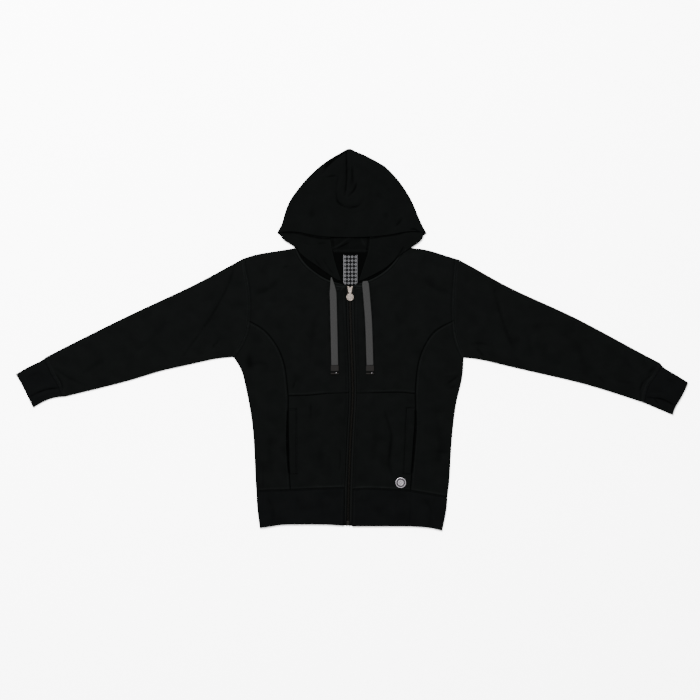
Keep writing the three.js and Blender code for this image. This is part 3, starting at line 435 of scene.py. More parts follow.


# Creases listed one by one: places along each, how wide and how high (below 0 a trough)
creases = {
    "body": [
        ([(-232, 96), (-231, 62)], 13, -0.7), ([(-238, 60), (-214, 74), (-190, 70)], 7, -0.35),
        ([(-132, 15), (-124, 35)], 3.5, -0.6), ([(-121, 17), (-127, 30)], 3, 0.35),
        ([(-90, -19), (-91, -53)], 4, -0.6), ([(-23, -126), (-22, -148), (-25, -172)], 3.5, -0.8),
        ([(-133, -44), (-134, -100), (-132, -170)], 7, 0.35),
        ([(141, -44), (138, -100), (134, -170)], 7, 0.35), ([(-33, -120), (-37, -160), (-34, -196)], 7, 0.4),
        ([(-70, -120), (-64, -172)], 12, -0.35), ([(247, 43), (238, 36), (226, 27)], 3.5, -1.0),
        ([(250, 52), (236, 47), (218, 44)], 4, 0.6), ([(243, 22), (228, 13)], 4, -0.5),
        ([(79, -38), (91, -75), (95, -96), (92, -130), (90, -160), (97, -184)], 6, -0.8),
        ([(108, -60), (112, -140)], 9, 0.3), ([(60, -60), (52, -150)], 14, -0.3),
        ([(74, 12), (86, 15)], 3, -0.5), ([(-218, 232), (-188, 244), (-166, 262)], 9, -0.45),
        ([(-222, 206), (-190, 204), (-150, 214)], 8, 0.3), ([(226, 236), (196, 246), (172, 266)], 10, -0.4),
        ([(-156, 292), (-142, 297)], 4, -0.6), ([(-76, 190), (-90, 120), (-84, 70)], 12, -0.25),
        ([(96, 220), (112, 150), (104, 84)], 14, -0.25), ([(-178, -60), (-184, -120), (-178, -190)], 12, -0.3),
        ([(196, -40), (206, -110), (198, -190)], 13, -0.3), ([(182, -128), (232, -133)], 6, -0.35),
        ([(-12, 190), (-15, 110)], 5, 0.3),
    ],
    "band": [
        ([(138, -226), (138, -298)], 2, -0.45), ([(-190, -236), (-176, -262), (-180, -296)], 7, -0.4),
        ([(-120, -232), (-126, -270)], 6, -0.3), ([(-66, -238), (-60, -288)], 9, -0.3),
        ([(60, -236), (68, -280)], 8, -0.3), ([(176, -242), (186, -268), (182, -300)], 6, -0.4),
        ([(110, -240), (104, -262)], 5, -0.25),
    ],
    "sleeves": [
        ([(-264, 297), (-283, 246), (-313, 191), (-340, 150), (-382, 92)], 4, -0.9),
        ([(-276, 292), (-296, 244), (-325, 192), (-354, 152)], 7, 0.45),
        ([(-299, 131), (-308, 119), (-317, 108)], 3.5, -0.9), ([(-300, 96), (-330, 98), (-352, 92)], 5, -0.5),
        ([(-418, 170), (-470, 118), (-500, 92)], 11, -0.35), ([(-552, 57), (-534, 40)], 5, -0.5),
        ([(-560, 84), (-600, 60), (-620, 40)], 9, -0.35),
        ([(-678, 62), (-660, 49), (-644, 39), (-607, 21)], 5, -0.8),
        ([(-668, 66), (-640, 54), (-604, 44)], 6, 0.5),
        ([(-676, 48), (-667, 35), (-662, 23), (-661, 8)], 3, -1.3),
        ([(-660, 44), (-652, 26), (-652, 10)], 4, 0.6),
        ([(329, 251), (343, 196), (356, 154), (377, 104)], 5, -0.7),
        ([(342, 240), (356, 190), (370, 150)], 8, 0.35),
        ([(278, 117), (296, 119), (313, 117), (322, 112)], 3.5, -0.8),
        ([(290, 108), (299, 98), (306, 89)], 3.2, -1.1), ([(300, 108), (312, 96), (318, 86)], 4, 0.5),
        ([(430, 160), (410, 130), (420, 90)], 11, -0.3), ([(500, 140), (530, 96), (540, 52)], 12, -0.3),
        ([(570, 44), (582, 31), (592, 20)], 5, -0.5), ([(612, 33), (632, 30), (653, 27)], 5, -0.5),
        ([(694, 46), (680, 36), (670, 22), (667, 4), (668, -10)], 3, -1.3),
        ([(684, 52), (664, 40), (656, 22)], 4.5, 0.6), ([(700, 62), (690, 54), (684, 44)], 4, -0.7),
        ([(640, 72), (656, 48)], 6, -0.5),
    ],
    "cuffs": [
        ([(-736, -4), (-713, 7), (-690, 14), (-664, 16)], 2.4, -1.3),
        ([(-732, -14), (-711, -2), (-690, 5), (-664, 7)], 4, 0.5),
        ([(-730, 8), (-709, 16), (-688, 23)], 4, 0.4), ([(-742, 40), (-716, 52)], 7, -0.3),
        ([(683, -5), (699, -7), (718, -10), (741, -21), (752, -27)], 2.4, -1.3),
        ([(699, -8), (708, -20)], 2.6, -0.9), ([(692, 3), (716, 0), (742, -11)], 4, 0.5),
        ([(722, 40), (748, 26)], 7, -0.3), ([(724, -22), (744, -32)], 4, 0.4),
    ],
    "hood": [
        ([(-9, 560), (-8, 528), (-8, 500), (-12, 460)], 2.6, -1.9), ([(-2, 540), (4, 505), (6, 474)], 9, -0.7),
        ([(-27, 502), (-31, 480), (-31, 460)], 5, -0.5),
        ([(-1, 556), (1, 528), (1, 502), (-2, 478)], 3.2, 1.0), ([(-17, 540), (-18, 500), (-22, 470)], 5, 0.8),
        ([(15, 487), (10, 472), (-2, 458)], 4.5, -1.1),
        ([(-32, 462), (-28, 444), (-14, 434), (2, 431), (20, 436), (32, 452)], 3.5, -0.9),
        ([(-24, 458), (-19, 445), (-4, 440), (14, 443), (22, 456)], 4, 0.7),
        ([(-38, 452), (-26, 432), (2, 423), (30, 430), (40, 446)], 5, 0.5),
        ([(-14, 557), (-36, 542), (-58, 523)], 7, -1.2), ([(-12, 552), (-28, 541), (-42, 528)], 2.6, 0.7),
        ([(-30, 504), (-44, 503), (-58, 499)], 3.5, -0.7), ([(-49, 532), (-58, 518), (-68, 503)], 5, -0.4),
        ([(-70, 500), (-92, 492), (-104, 480)], 6, -0.35), ([(121, 408), (112, 396), (103, 385)], 5, -0.7),
        ([(134, 404), (124, 388)], 5, 0.4), ([(158, 374), (148, 381), (138, 380)], 2.6, -1.0),
        ([(-60, 460), (-84, 430), (-92, 400)], 12, -0.35), ([(52, 480), (78, 440), (84, 400)], 14, -0.35),
        ([(-8, 394), (-5, 391)], 2.2, -0.8), ([(28, 398), (56, 392)], 7, -0.3),
    ],
    "hoodSides": [
        ([(-76, 346), (-64, 349), (-52, 347)], 3.5, -0.6), ([(-72, 318), (-58, 294), (-46, 275)], 3.2, 0.7),
        ([(-82, 314), (-68, 296), (-58, 284)], 3.4, -0.7), ([(-62, 312), (-48, 290), (-40, 280)], 3.4, -0.6),
        ([(-120, 352), (-96, 346), (-84, 338)], 5, -0.5), ([(-136, 372), (-110, 362)], 5, 0.4),
        ([(60, 330), (84, 326), (96, 318)], 6, -0.5), ([(120, 356), (136, 366)], 6, -0.4),
        ([(56, 296), (48, 310)], 5, -0.4),
    ],
    "hoodBack": [
        ([(2, 362), (-10, 356), (-24, 345), (-42, 336)], 3.4, 1.0),
        ([(2, 353), (-14, 345), (-32, 336)], 3, -0.6), ([(26, 360), (34, 344)], 4, 0.6),
        ([(-1, 362), (-1.5, 333)], 1.8, 0.5), ([(-90, 470), (-40, 440), (20, 452)], 9, 0.6),
        ([(60, 500), (96, 450)], 9, 0.5), ([(-60, 392), (-110, 404)], 7, 0.6),
    ],
    "back": [
        ([(-226, 150), (-180, 172), (-140, 168)], 9, 0.8), ([(-232, 112), (-190, 126)], 6, 0.6),
        ([(228, 140), (186, 158), (150, 176)], 9, 0.8), ([(236, 104), (198, 108)], 6, 0.6),
        ([(-120, 300), (-60, 280), (20, 284), (100, 302)], 12, 0.6),
        ([(-60, 120), (-20, 40), (-30, -40)], 16, 0.6), ([(70, 100), (96, 20), (80, -60)], 14, 0.7),
        ([(-160, 20), (-150, -60), (-168, -140)], 12, 0.6), ([(176, -20), (166, -90), (180, -170)], 10, 0.6),
        ([(-60, -100), (-20, -150), (-30, -200)], 9, 0.5), ([(40, -120), (70, -190)], 8, 0.6),
    ],
    "sleeveBacks": [
        ([(-262, 250), (-300, 200), (-330, 130)], 8, 0.7), ([(-300, 110), (-340, 120)], 5, 0.6),
        ([(-420, 190), (-440, 130), (-430, 80)], 10, 0.6), ([(-540, 140), (-570, 90), (-560, 50)], 9, 0.5),
        ([(-640, 90), (-650, 40), (-640, 10)], 5, 0.8), ([(266, 250), (300, 196), (320, 120)], 8, 0.7),
        ([(290, 104), (330, 112)], 5, 0.6), ([(410, 190), (440, 140), (424, 90)], 10, 0.6),
        ([(560, 130), (574, 80), (566, 40)], 9, 0.5), ([(650, 76), (662, 30), (650, 2)], 5, 0.8),
    ],
}

# Gentle unevenness of laid jersey: direction, wavelength and height of each wave
unevenness = [
    (0.3, 71, 0.10), (1.2, 53, 0.09), (2.1, 44, 0.08), (2.8, 37, 0.06), (0.8, 29, 0.05), (1.7, 23, 0.04),
]


def crest(xy, crease):
    places, wide, rise = crease
    low = np.min(places, axis=0) - 3 * wide
    high = np.max(places, axis=0) + 3 * wide
    inside = np.all((xy > low) & (xy < high), axis=1)
    height = np.zeros(len(xy))
    if inside.any():
        line = smoothLine(places, max(2.0, wide))
        away, along = nearLine(xy[inside], line)
        share = along / lengthAlong(line)[-1]
        fade = np.sin(np.pi * np.clip(0.08 + 0.84 * share, 0, 1)) ** 0.7  # soft at both ends
        drift = 1 + 0.18 * np.sin(along / (wide * 1.7) + rise * 9)  # wavers a little
        height[inside] = rise * fade * drift * np.exp(-((away / (wide * 0.62)) ** 2))
    return height


# How a seam stands: places, width, height, painted highlight on its ridge, painted shade in its groove and
# pucker
def seamShapes(side):
    s = seams[side]
    out = -1 if side == "left" else 1
    zipEdge = beside(seams["zip"], -out * seams["zipHalf"])
    return [
        (s["armhole"], 2.0, 0.75, 0.34, 0, 0.2),
        (beside(s["armhole"], -out * 4.6), 2.0, -0.35, 0, 0.35, 0.1),
        (beside(s["neck"], out * 0.9), 1.4, 0.5, 0.55, 0, 0.1),
        (beside(s["neck"], out * 3.8), 1.6, -0.35, 0, 0.42, 0.1),
        (s["zipTop"], 1.6, 0.4, 0.85, 0, 0),
        (beside(s["zipTop"], 2.9), 1.2, -0.4, 0, 0.8, 0),
        (beside(s["zipTop"], -2.9), 1.2, -0.4, 0, 0.8, 0),
        (beside(s["zipTop"], -5.8), 1.5, 0.3, 0.5, 0, 0),
        (beside(s["zipTop"], -8.6), 1.2, -0.3, 0, 0.55, 0),
        (s["panel"], 1.4, -0.7, 0, 0.72, 0.1),
        (beside(s["panel"][:7], out * 4.2), 1.7, 0.5, 0.12, 0, 0.15),
        (beside(s["panel"][6:], out * 4.2), 1.9, 0.3, 0.05, 0, 0.2),
        # Pocket slits: a trough with near black painted shade
        (s["slit"], 2.6, -0.9, 0, 1.0, 0),
        (s["yoke"][:3], 1.4, -0.6, 0, 0.6, 0.1),
        (s["yoke"][2:], 1.4, -0.35, 0, 0.3, 0.1),
        (beside(s["yoke"][:3], -out * 4.0), 1.7, 0.45, 0.12, 0, 0.12),
        (s["hem"], 1.9, -0.7, 0, 0.75, 0.15),
        (beside(s["hem"], -out * 4.6), 2.0, 0.6, 0.12, 0, 0.3),
        (beside(s["hem"][3:], -out * 4.6), 2.0, 0.1, 0.3, 0, 0),
        (s["cuff"], 2.1, 0.5, 0.2 if side == "left" else 0.3, 0, 0.25),
        (beside(s["cuff"], out * 4.4), 1.8, -0.4, 0, 0.4, 0.2),
        (beside(zipEdge, -out * 6.4), 1.5, -0.45, 0, 0.45, 0.08),
        (beside(zipEdge, -out * 3.4), 2.2, 0.3, 0.1, 0, 0.12),
        (zipEdge, 1.5, -0.35, 0, 0.8, 0.0),
        (s["cuffEnd"], 2.2, -0.35, 0.15, 0, 0.05),
        # Shallow troughs with painted shadow along both edges of each cord
        (beside(cords[side], 9.3), 1.2, -0.35, 0, 0.5, 0),
        (beside(cords[side], -9.3), 1.2, -0.35, 0, 0.5, 0),
    ] + [(line, 1.7, -0.45, 0, 0.62, 0) for line in s["pocketBox"]]


# The same for the hood: folds and shade beside its edges
def hoodShapes(side):
    s = seams[side]
    out = -1 if side == "left" else 1
    return [
        (s["hoodFace"], 3.2 if side == "left" else 2.4, -0.5, 0, 0.85, 0.1),
        (beside(s["hoodEdge"][3:], out * 1.6), 2.2, 0, 0, 0.9, 0),
        (beside(s["neck"], -out * 1.8), 1.6, 0, 0, 0.85, 0),
        (beside(s["hoodRoll"], -out * 4.4), 4.6, 0, 0, 0.75, 0),
        (s["hoodRoll"], 2.0, 0.3, 0.1, 0, 0),
    ]


# A few places become a smooth line; a line that already has many stays
def asLine(places, step):
    return smoothLine([tuple(q) for q in places], step) if len(places) < 14 else np.asarray(places)


def puckerAt(along, seed):
    spacing = 3
    count = int(along.max() / spacing) + 3
    table = [noise.noise(Vector((k * 0.61, seed * 3.7, 0.5))) for k in range(count)]
    return np.interp(along / spacing, range(count), table)


def seamHeights(xy, shapes):
    height, wearAndHighlight, paintedShade = np.zeros((3, len(xy)))
    margin = 12
    for seed, (places, width, rise, paintedHighlight, dark, pucker) in enumerate(shapes):
        line = asLine(places, 5)
        near = np.all((xy > line.min(axis=0) - margin) & (xy < line.max(axis=0) + margin), axis=1)
        if not near.any():
            continue
        away, along = nearLine(xy[near], line)
        uneven = puckerAt(along, seed)
        shape = np.exp(-((away / width) ** 2))
        around = np.exp(-((away / (width * 2.6)) ** 2))
        height[near] += rise * shape * (1 + 0.5 * uneven) + pucker * uneven * around * 1.6
        wearAndHighlight[near] = np.maximum(wearAndHighlight[near], paintedHighlight * shape * (0.65 + 0.7 * np.abs(uneven)))
        paintedShade[near] = np.maximum(paintedShade[near], dark * shape * (0.9 + 0.3 * uneven))
    return height, wearAndHighlight, np.clip(paintedShade, 0, 1)


# Cloth pieces: fineness, which creases, flat size in metres and area, and which walls move
# ("all" both alike, "tube" each by its own creases, "top" the upper one)
pieces = {
    "back": (2, ["back"], (0.535, 0.575), 0.264, "all"),
    "hem_band_back": (2, [], (0.445, 0.090), 0.036, "none"),
    "hood_back": (4, ["hoodBack"], (0.337, 0.234), 0.0555, "all"),
    "hood_crown": (3, ["hood"], (0.337, 0.203), 0.047, "all"),
    "hood_side_left": (3, ["hoodSides"], (0.135, 0.215), 0.0174, "top"),
    "hood_side_right": (3, ["hoodSides"], (0.145, 0.215), 0.0189, "top"),
    "front_upper_left": (3, ["body"], (0.240, 0.345), 0.0585, "all"),
    "front_upper_right": (3, ["body"], (0.240, 0.340), 0.0583, "all"),
    "front_lower_left": (3, ["body"], (0.137, 0.224), 0.0294, "all"),
    "front_lower_right": (3, ["body"], (0.144, 0.226), 0.0308, "all"),
    "side_panel_left": (3, ["body"], (0.134, 0.395), 0.032, "all"),
    "side_panel_right": (3, ["body"], (0.124, 0.408), 0.032, "all"),
    "hem_band_left": (3, ["band"], (0.205, 0.092), 0.0168, "top"),
    "hem_band_right": (3, ["band"], (0.221, 0.095), 0.0181, "top"),
    "sleeve_left": (3, ["sleeves"], (0.470, 0.520), 0.140, "tube"),
    "sleeve_right": (3, ["sleeves"], (0.470, 0.520), 0.140, "tube"),
    "cuff_left": (3, ["cuffs"], (0.200, 0.092), 0.0141, "tube"),
    "cuff_right": (3, ["cuffs"], (0.200, 0.092), 0.0144, "tube"),
}
# Painted shade on the faces that lie deep in the garment: how dark it gets between two heights
inner = {"back": (0.6, 1.2, 0.74), "hood_back": (0.6, 1.2, 0.4), "hood_side_left": (3.7, 3.55, 0.68),
         "hood_side_right": (3.7, 3.55, 0.68)}
# The hood's corners and top pushed out: where, how far right and up, and how wide a push is
pulled = [(-158, 370, -5.5, 0, 15), (-148, 356, -4.5, 0, 15), (168, 369, 4.5, 0, 15),
          (158, 355, 5.0, 0, 15), (-2, 565, 1.5, 2.5, 12)]
creaseDepth = {"body": 1.25, "band": 1.2, "sleeves": 0.95, "cuffs": 1.25, "hood": 1.35, "hoodSides": 1.3,
               "hoodBack": 1.0, "back": 1.0}
shapesBySide = seamShapes("left") + seamShapes("right")
hoodShapesBySide = hoodShapes("left") + hoodShapes("right")
clothForm = {
    "sharpness": 0.9,
    "insideLimit": 1.2,  # how far the back may rise inside the garment
    "outsideLimits": (-1.5, 1.8),
    "topHeights": (3.6, 4.6),  # heights between which a wall starts to move
    "tubeHeights": (2.0, 3.2),
    "tubeUnder": (1.7, 2.4),
    # Painted shade in troughs, per mm of depth: on the cloth, on the crown and inside the garment
    "troughDark": 0.46,
    "crownTroughDark": 0.62,
    "insideTroughDark": 1.5,
    # Painted highlight on the raised folds inside the garment
    "insideRidgeHighlight": 0.35,
    # Painted shade over the whole hood crown and hood sides
    "crownDark": 0.16,
    "hoodDark": 0.18,
    # Y positions over which the painted shade on the deep part of the hood sides fades in
    "sideDarkY": (352, 338),
}


def clothPiece(node):
    levels, groups, flat, area, walls = pieces[node]
    bm = takeNode(node)
    creaseEdges(bm, clothForm["sharpness"])
    isBand = node.startswith(("hem_band", "cuff"))
    isHood, isSide = node.startswith("hood"), node.startswith("hood_side")
    piece = addPiece(node + "_cloth", bm, bandMaterial if isBand else clothMaterial)
    refine(piece, levels)
    co = points(piece)
    xy, z = co[:, :2], co[:, 2]
    height, wearAndHighlight, paintedShade = np.zeros((3, len(co)))
    if walls != "none":
        for group in groups:
            for crease in creases[group]:
                height += creaseDepth[group] * crest(xy, crease)
        for direction, wave, rise in unevenness:
            turned = xy[:, 0] * math.cos(direction) + xy[:, 1] * math.sin(direction)
            height += rise * np.sin(turned * 2 * math.pi / wave + direction * 5)
    if node in ("back", "hood_back"):
        if isHood:
            wearAndHighlight, paintedShade = seamHeights(xy, hoodShapesBySide)[1:]
            # Painted highlight on the raised folds of the inside hood
            wearAndHighlight = np.maximum(wearAndHighlight, np.clip(height * clothForm["insideRidgeHighlight"], 0, clothForm["insideRidgeHighlight"]))
        # Painted shade in the troughs of the inside back and hood
        paintedShade = np.maximum(paintedShade, np.clip(-height * clothForm["insideTroughDark"], 0, 0.9))
        co[:, 2] = z + np.clip(height, 0, clothForm["insideLimit"])
    else:
        seamHeight = 0
        if node != "hood_crown":
            seamHeight, wearAndHighlight, paintedShade = seamHeights(xy, hoodShapesBySide if isSide else shapesBySide)
        # Painted shade in the troughs of the creases
        trough = clothForm["crownTroughDark" if node == "hood_crown" else "troughDark"]
        paintedShade = np.maximum(paintedShade, np.clip(-height * trough, 0, 0.8))
        upper = ramp(z, *clothForm[walls + "Heights"]) if walls in ("tube", "top") else 1.0
        height = np.clip((height + seamHeight) * upper, *clothForm["outsideLimits"])
        if node.startswith("sleeve"):
            under = sum(crest(xy, crease) for crease in creases["sleeveBacks"])
            height += under * (1 - ramp(z, *clothForm["tubeUnder"]))
        co[:, 2] = z + height
    if isHood:
        for x, y, right, up, reach in pulled:
            near = np.exp(-((xy - (x, y)) ** 2).sum(axis=1) / reach ** 2)
            co[:, 0] += right * near
            co[:, 1] += up * near
        # Painted shade over the whole hood, as it lies deeper
        paintedShade = np.maximum(paintedShade, clothForm["crownDark" if node == "hood_crown" else "hoodDark"])
    movePoints(piece, co)
    # Painted shade on the faces that lie deep inside the garment
    if node in inner:
        low, high, dark = inner[node]
        deep = dark * ramp(z, low, high)
        if isSide:
            deep *= ramp(xy[:, 1], *clothForm["sideDarkY"])
        paintedShade = np.maximum(paintedShade, deep)
    paint(piece, "wearAndHighlight", wearAndHighlight.astype(np.float32))
    paint(piece, "paintedShade", paintedShade.astype(np.float32))
    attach(piece, "garment")
    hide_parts(node)
    return piece


cloth = [clothPiece(node) for node in pieces]
print("cloth made:", sum(len(piece.data.polygons) for piece in cloth), "faces")


# Tubes along any runs of points, made from one curve and turned into a mesh
def tubes(name, runs, radius, material, sides=2, closed=False):
    curve = bpy.data.curves.new(name, "CURVE")
    curve.dimensions = "3D"
    curve.bevel_depth = radius * mm
    curve.bevel_resolution = sides
    curve.use_fill_caps = True
    for run, widths in runs:
        spline = curve.splines.new("POLY")
        spline.points.add(len(run) - 1)
        for point, (x, y, z), width in zip(spline.points, run, widths):
            point.co = (x * mm, y * mm, z * mm, 1)
            point.radius = width
        spline.use_cyclic_u = closed
    source = bpy.data.objects.new(name + "_line", curve)
    bpy.context.collection.objects.link(source)
    graph = bpy.context.evaluated_depsgraph_get()
    bm = bmesh.new()
    bm.from_mesh(bpy.data.meshes.new_from_object(source.evaluated_get(graph)))
    bpy.data.objects.remove(source)
    bmesh.ops.remove_doubles(bm, verts=bm.verts, dist=1e-7)
    bmesh.ops.recalc_face_normals(bm, faces=bm.faces)
    return addPiece(name, bm, material)


# Turned-in seam edges that fill the open seams, and the tape over the back neck seam
ridge = {
    "armhole": {"z": 3.9, "underZ": 2.5, "under": (-2.6, -0.9, 0.9, 2.6), "backZ": 1.25, "radius": 1.55,
                "backRadius": 1.2},
    "cuff": {"z": 4.0, "backZ": 1.05, "radius": 0.9},
    "hem": {"z": 3.5, "backZ": 1.0, "radius": 0.9},
    "neckZ": 1.0,
    "endWidth": 0.5,
}


def ridgeRun(places, z, trim=0):
    line = smoothLine(places, 3)
    line = line[trim:len(line) - trim] if trim else line
    widths = [1 + 0.14 * noise.noise(Vector((k * 0.7, z, len(line)))) for k in range(len(line))]
    widths[0] = widths[-1] = ridge["endWidth"]
    return [(x, y, z) for x, y in line], widths


armholeRuns, backRuns, cuffRuns, hemRuns = [], [], [], []
for side in ("left", "right"):
    armhole, cuff = seams[side]["armhole"], seams[side]["cuff"]
    armholeRuns.append(ridgeRun(armhole, ridge["armhole"]["z"]))
    for away in ridge["armhole"]["under"]:
        armholeRuns.append(ridgeRun(beside(armhole, away), ridge["armhole"]["underZ"], 2))
    backRuns.append(ridgeRun(armhole, ridge["armhole"]["backZ"]))
    cuffRuns.append(ridgeRun(cuff, ridge["cuff"]["z"], 1))
    cuffRuns.append(ridgeRun(cuff, ridge["cuff"]["backZ"], 1))
    hemRuns.append(ridgeRun(seams[side]["hem"], ridge["hem"]["z"]))
backRuns.append(ridgeRun(seams["backNeck"], ridge["neckZ"], 2))
hemRuns.append(ridgeRun(seams["backHem"], ridge["hem"]["backZ"]))
ridgePieces = [
    tubes("armhole_ridges", armholeRuns, ridge["armhole"]["radius"], clothMaterial, 3),
    tubes("back_ridges", backRuns, ridge["armhole"]["backRadius"], clothMaterial, 3),
    tubes("cuff_ridges", cuffRuns, ridge["cuff"]["radius"], bandMaterial, 3),
    tubes("hem_ridges", hemRuns, ridge["hem"]["radius"], bandMaterial, 3),
]
neckTape = {"left": -38, "right": 38, "y": 331, "half": 3.2, "low": 1.62, "thick": 0.5, "crown": 1.6,
            "dark": 0.3, "rows": (328.6, 333.4), "rowEnd": 37, "rowSag": 0.2}
bm = bmesh.new()
bmesh.ops.create_grid(bm, x_segments=24, y_segments=3, size=0.5)
for v in bm.verts:
    x = neckTape["left"] + (v.co.x + 0.5) * (neckTape["right"] - neckTape["left"])
    z = neckTape["low"] + neckTape["thick"] * (neckTape["crown"] if abs(v.co.y) < 0.2 else 1)
    v.co = Vector((x, neckTape["y"] + v.co.y * 2 * neckTape["half"], z)) * mm
neckTapePiece = addPiece("neck_tape", bm, clothMaterial)
addWall(neckTapePiece, neckTape["thick"])
refine(neckTapePiece, 1)
# Painted shade over the whole neck tape, like the inside back around it
paint(neckTapePiece, "paintedShade", [neckTape["dark"]] * len(neckTapePiece.data.vertices))
for piece in ridgePieces + [neckTapePiece]:
    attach(piece, "garment")
print("seam ridges made")

# Topstitching: rows of separate stitches laid on the finished cloth
stitch = {"length": 2.7, "gap": 0.75, "radius": 0.24, "sunk": 0.05, "ends": -0.12, "arch": 0.1, "backSunk": 0.1,
          "steepest": 1.2}
pockets = {
    "left": [[(-123.5, -34), (-123, -100), (-122, -180)], [(-141, -34), (-124, -34)],
             [(-140, -179), (-123, -180)]],
    "right": [[(132, -30), (128, -110), (124, -180)], [(149, -34), (132, -31)], [(146, -178), (125, -180)]],
}
graph = bpy.context.evaluated_depsgraph_get()
surfaces = [BVHTree.FromObject(piece, graph) for piece in cloth + [neckTapePiece]]


def surfaceHeight(x, y, above=True):
    start = Vector((x * mm, y * mm, 0.1 if above else -0.1))
    hits = [tree.ray_cast(start, Vector((0, 0, -1 if above else 1)))[0] for tree in surfaces]
    heights = [hit.z / mm for hit in hits if hit]
    if not heights:
        return None
    return max(heights) if above else min(heights)


def stitchRow(line, above=True):
    line = asLine(line, 0.6)
    length = lengthAlong(line)
    runs, start, k = [], 1.0, 0
    while start + stitch["length"] < length[-1]:
        size = stitch["length"] * (1 + 0.08 * math.sin(k * 2.3))
        run = []
        for share, lift in ((0, stitch["ends"]), (0.5, stitch["arch"]), (1, stitch["ends"])):
            x, y = placeAt(line, length, start + share * size)
            z = surfaceHeight(x, y, above)
            if z is None:
                break
            run.append((x, y, z + lift - stitch["sunk"] if above else z - lift + stitch["backSunk"]))
        if len(run) == 3 and max(q[2] for q in run) - min(q[2] for q in run) < stitch["steepest"]:
            runs.append((run, (0.6, 1, 0.6)))
        start += size + stitch["gap"]
        k += 1
    return runs


frontRows, backRows = [], []
for side in ("left", "right"):
    s = seams[side]
    out = -1 if side == "left" else 1
    edge = beside(seams["zip"], -out * seams["zipHalf"])
    for line in (
        beside(s["armhole"], 3.4), beside(s["armhole"], -3.4), beside(s["neck"], out * 6.5),
        beside(s["panel"], out * 5.2), beside(s["yoke"], -out * 5.0), beside(s["hem"], -out * 5.4),
        beside(s["cuff"], 3.2), beside(s["cuff"], -3.2), beside(edge, -out * 6.4), *pockets[side],
    ):
        frontRows += stitchRow(line)
    for line in (beside(s["armhole"], 3.2), beside(s["armhole"], -3.2), beside(s["cuff"], 3.2)):
        backRows += stitchRow(line, False)
for y in neckTape["rows"]:
    frontRows += stitchRow([(-neckTape["rowEnd"], y), (0, y - neckTape["rowSag"]), (neckTape["rowEnd"], y)])
backRows += stitchRow(beside(seams["backNeck"], -4.5), False)
backRows += stitchRow(beside(seams["backHem"], 5), False)
for name, rows in (("stitches_front", frontRows), ("stitches_back", backRows)):
    piece = tubes(name, rows, stitch["radius"], threadMaterial, 1)
    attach(piece, "garment")
print("stitches made:", len(frontRows) + len(backRows))

# Zip: woven tapes, a chain of separate teeth with its end box, the slider and its round tab
zipSizes = {
    "toothPitch": 2.3, "tooth": (3.2, 1.25, 2.2), "toothEdge": 0.32, "toothZ": 3.5, "reach": 2.6, "start": 0.8,
    "top": 230.5, "bottom": -290, "box": (6.4, 9, 2.4), "boxEdge": 0.5, "boxAt": (-4.9, -294.6, 3.5),
    "beadAt": 3.2, "beadZ": 2.9, "beadRadius": 0.75, "beadsPast": 18,
}


def metalMaterial(name, colour, roughness, scale, wearAndHighlight):
    material, tree, shader = newMaterial(name, colour, roughness, metallic=1.0, specular=0.5)
    rub = addTexture(tree, "ShaderNodeTexNoise", {"Scale": scale, "Detail": 5.0, "Roughness": 0.65})
    setColour(tree, shader, rub, wearAndHighlight, colour)
    spread = addNode(tree, "ShaderNodeMapRange", {"To Min": roughness - 0.1, "To Max": roughness + 0.15})
    tree.links.new(rub, spread.inputs["Value"])
    tree.links.new(spread.outputs["Result"], shader.inputs["Roughness"])
    addBump(tree, shader, rub, 0.15, 0.05)
    return material


chainMetal = metalMaterial("zip_chain", (0.0019, 0.0019, 0.0018), 0.42, 500, (0.0042, 0.0039, 0.0034))
brightMetal = metalMaterial("zip_metal", (0.087, 0.074, 0.065), 0.30, 320, (0.036, 0.030, 0.026))
badgeMetal = metalMaterial("badge", (0.184, 0.175, 0.187), 0.34, 260, (0.092, 0.085, 0.092))


def wovenTapeMaterial():
    material, tree, shader = newMaterial("zip_tape", (0.0009, 0.0009, 0.0009), 0.85, sheen=0.001,
                                         specular=0.006)
    rib = addTexture(tree, "ShaderNodeTexWave", {"Scale": 260.0, "Distortion": 0.6}, bands_direction="Y")
    chevron = addTexture(tree, "ShaderNodeTexWave", {"Scale": 120.0, "Distortion": 0.5},
                         bands_direction="DIAGONAL")
    weave = calculate(tree, "MULTIPLY", rib, chevron)
    setColour(tree, shader, weave, (0.0006, 0.00066, 0.00064), (0.00175, 0.00188, 0.0018))
    addBump(tree, shader, weave, 0.5, 0.3)
    return material


zipTape = wovenTapeMaterial()
for side in ("left", "right"):
    bm = takeNode("zip_tape_" + side)
    creaseEdges(bm, 1.0)
    piece = addPiece("woven_tape_" + side, bm, zipTape)
    refine(piece, 2)
    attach(piece, "garment")
    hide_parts("zip_tape_" + side)
beadRuns = []
for away in (-zipSizes["beadAt"], zipSizes["beadAt"]):
    line = beside(seams["zip"], away, 3)
    run = [(x, y, zipSizes["beadZ"]) for x, y in line if y < zipSizes["top"] + zipSizes["beadsPast"]]
    beadRuns.append((run, [1] * len(run)))
beadThread, _, _ = newMaterial("bead_thread", (0.00042, 0.00046, 0.00045), 0.9, specular=0.004)
beads = tubes("tape_beads", beadRuns, zipSizes["beadRadius"], beadThread, 2)
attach(beads, "garment")


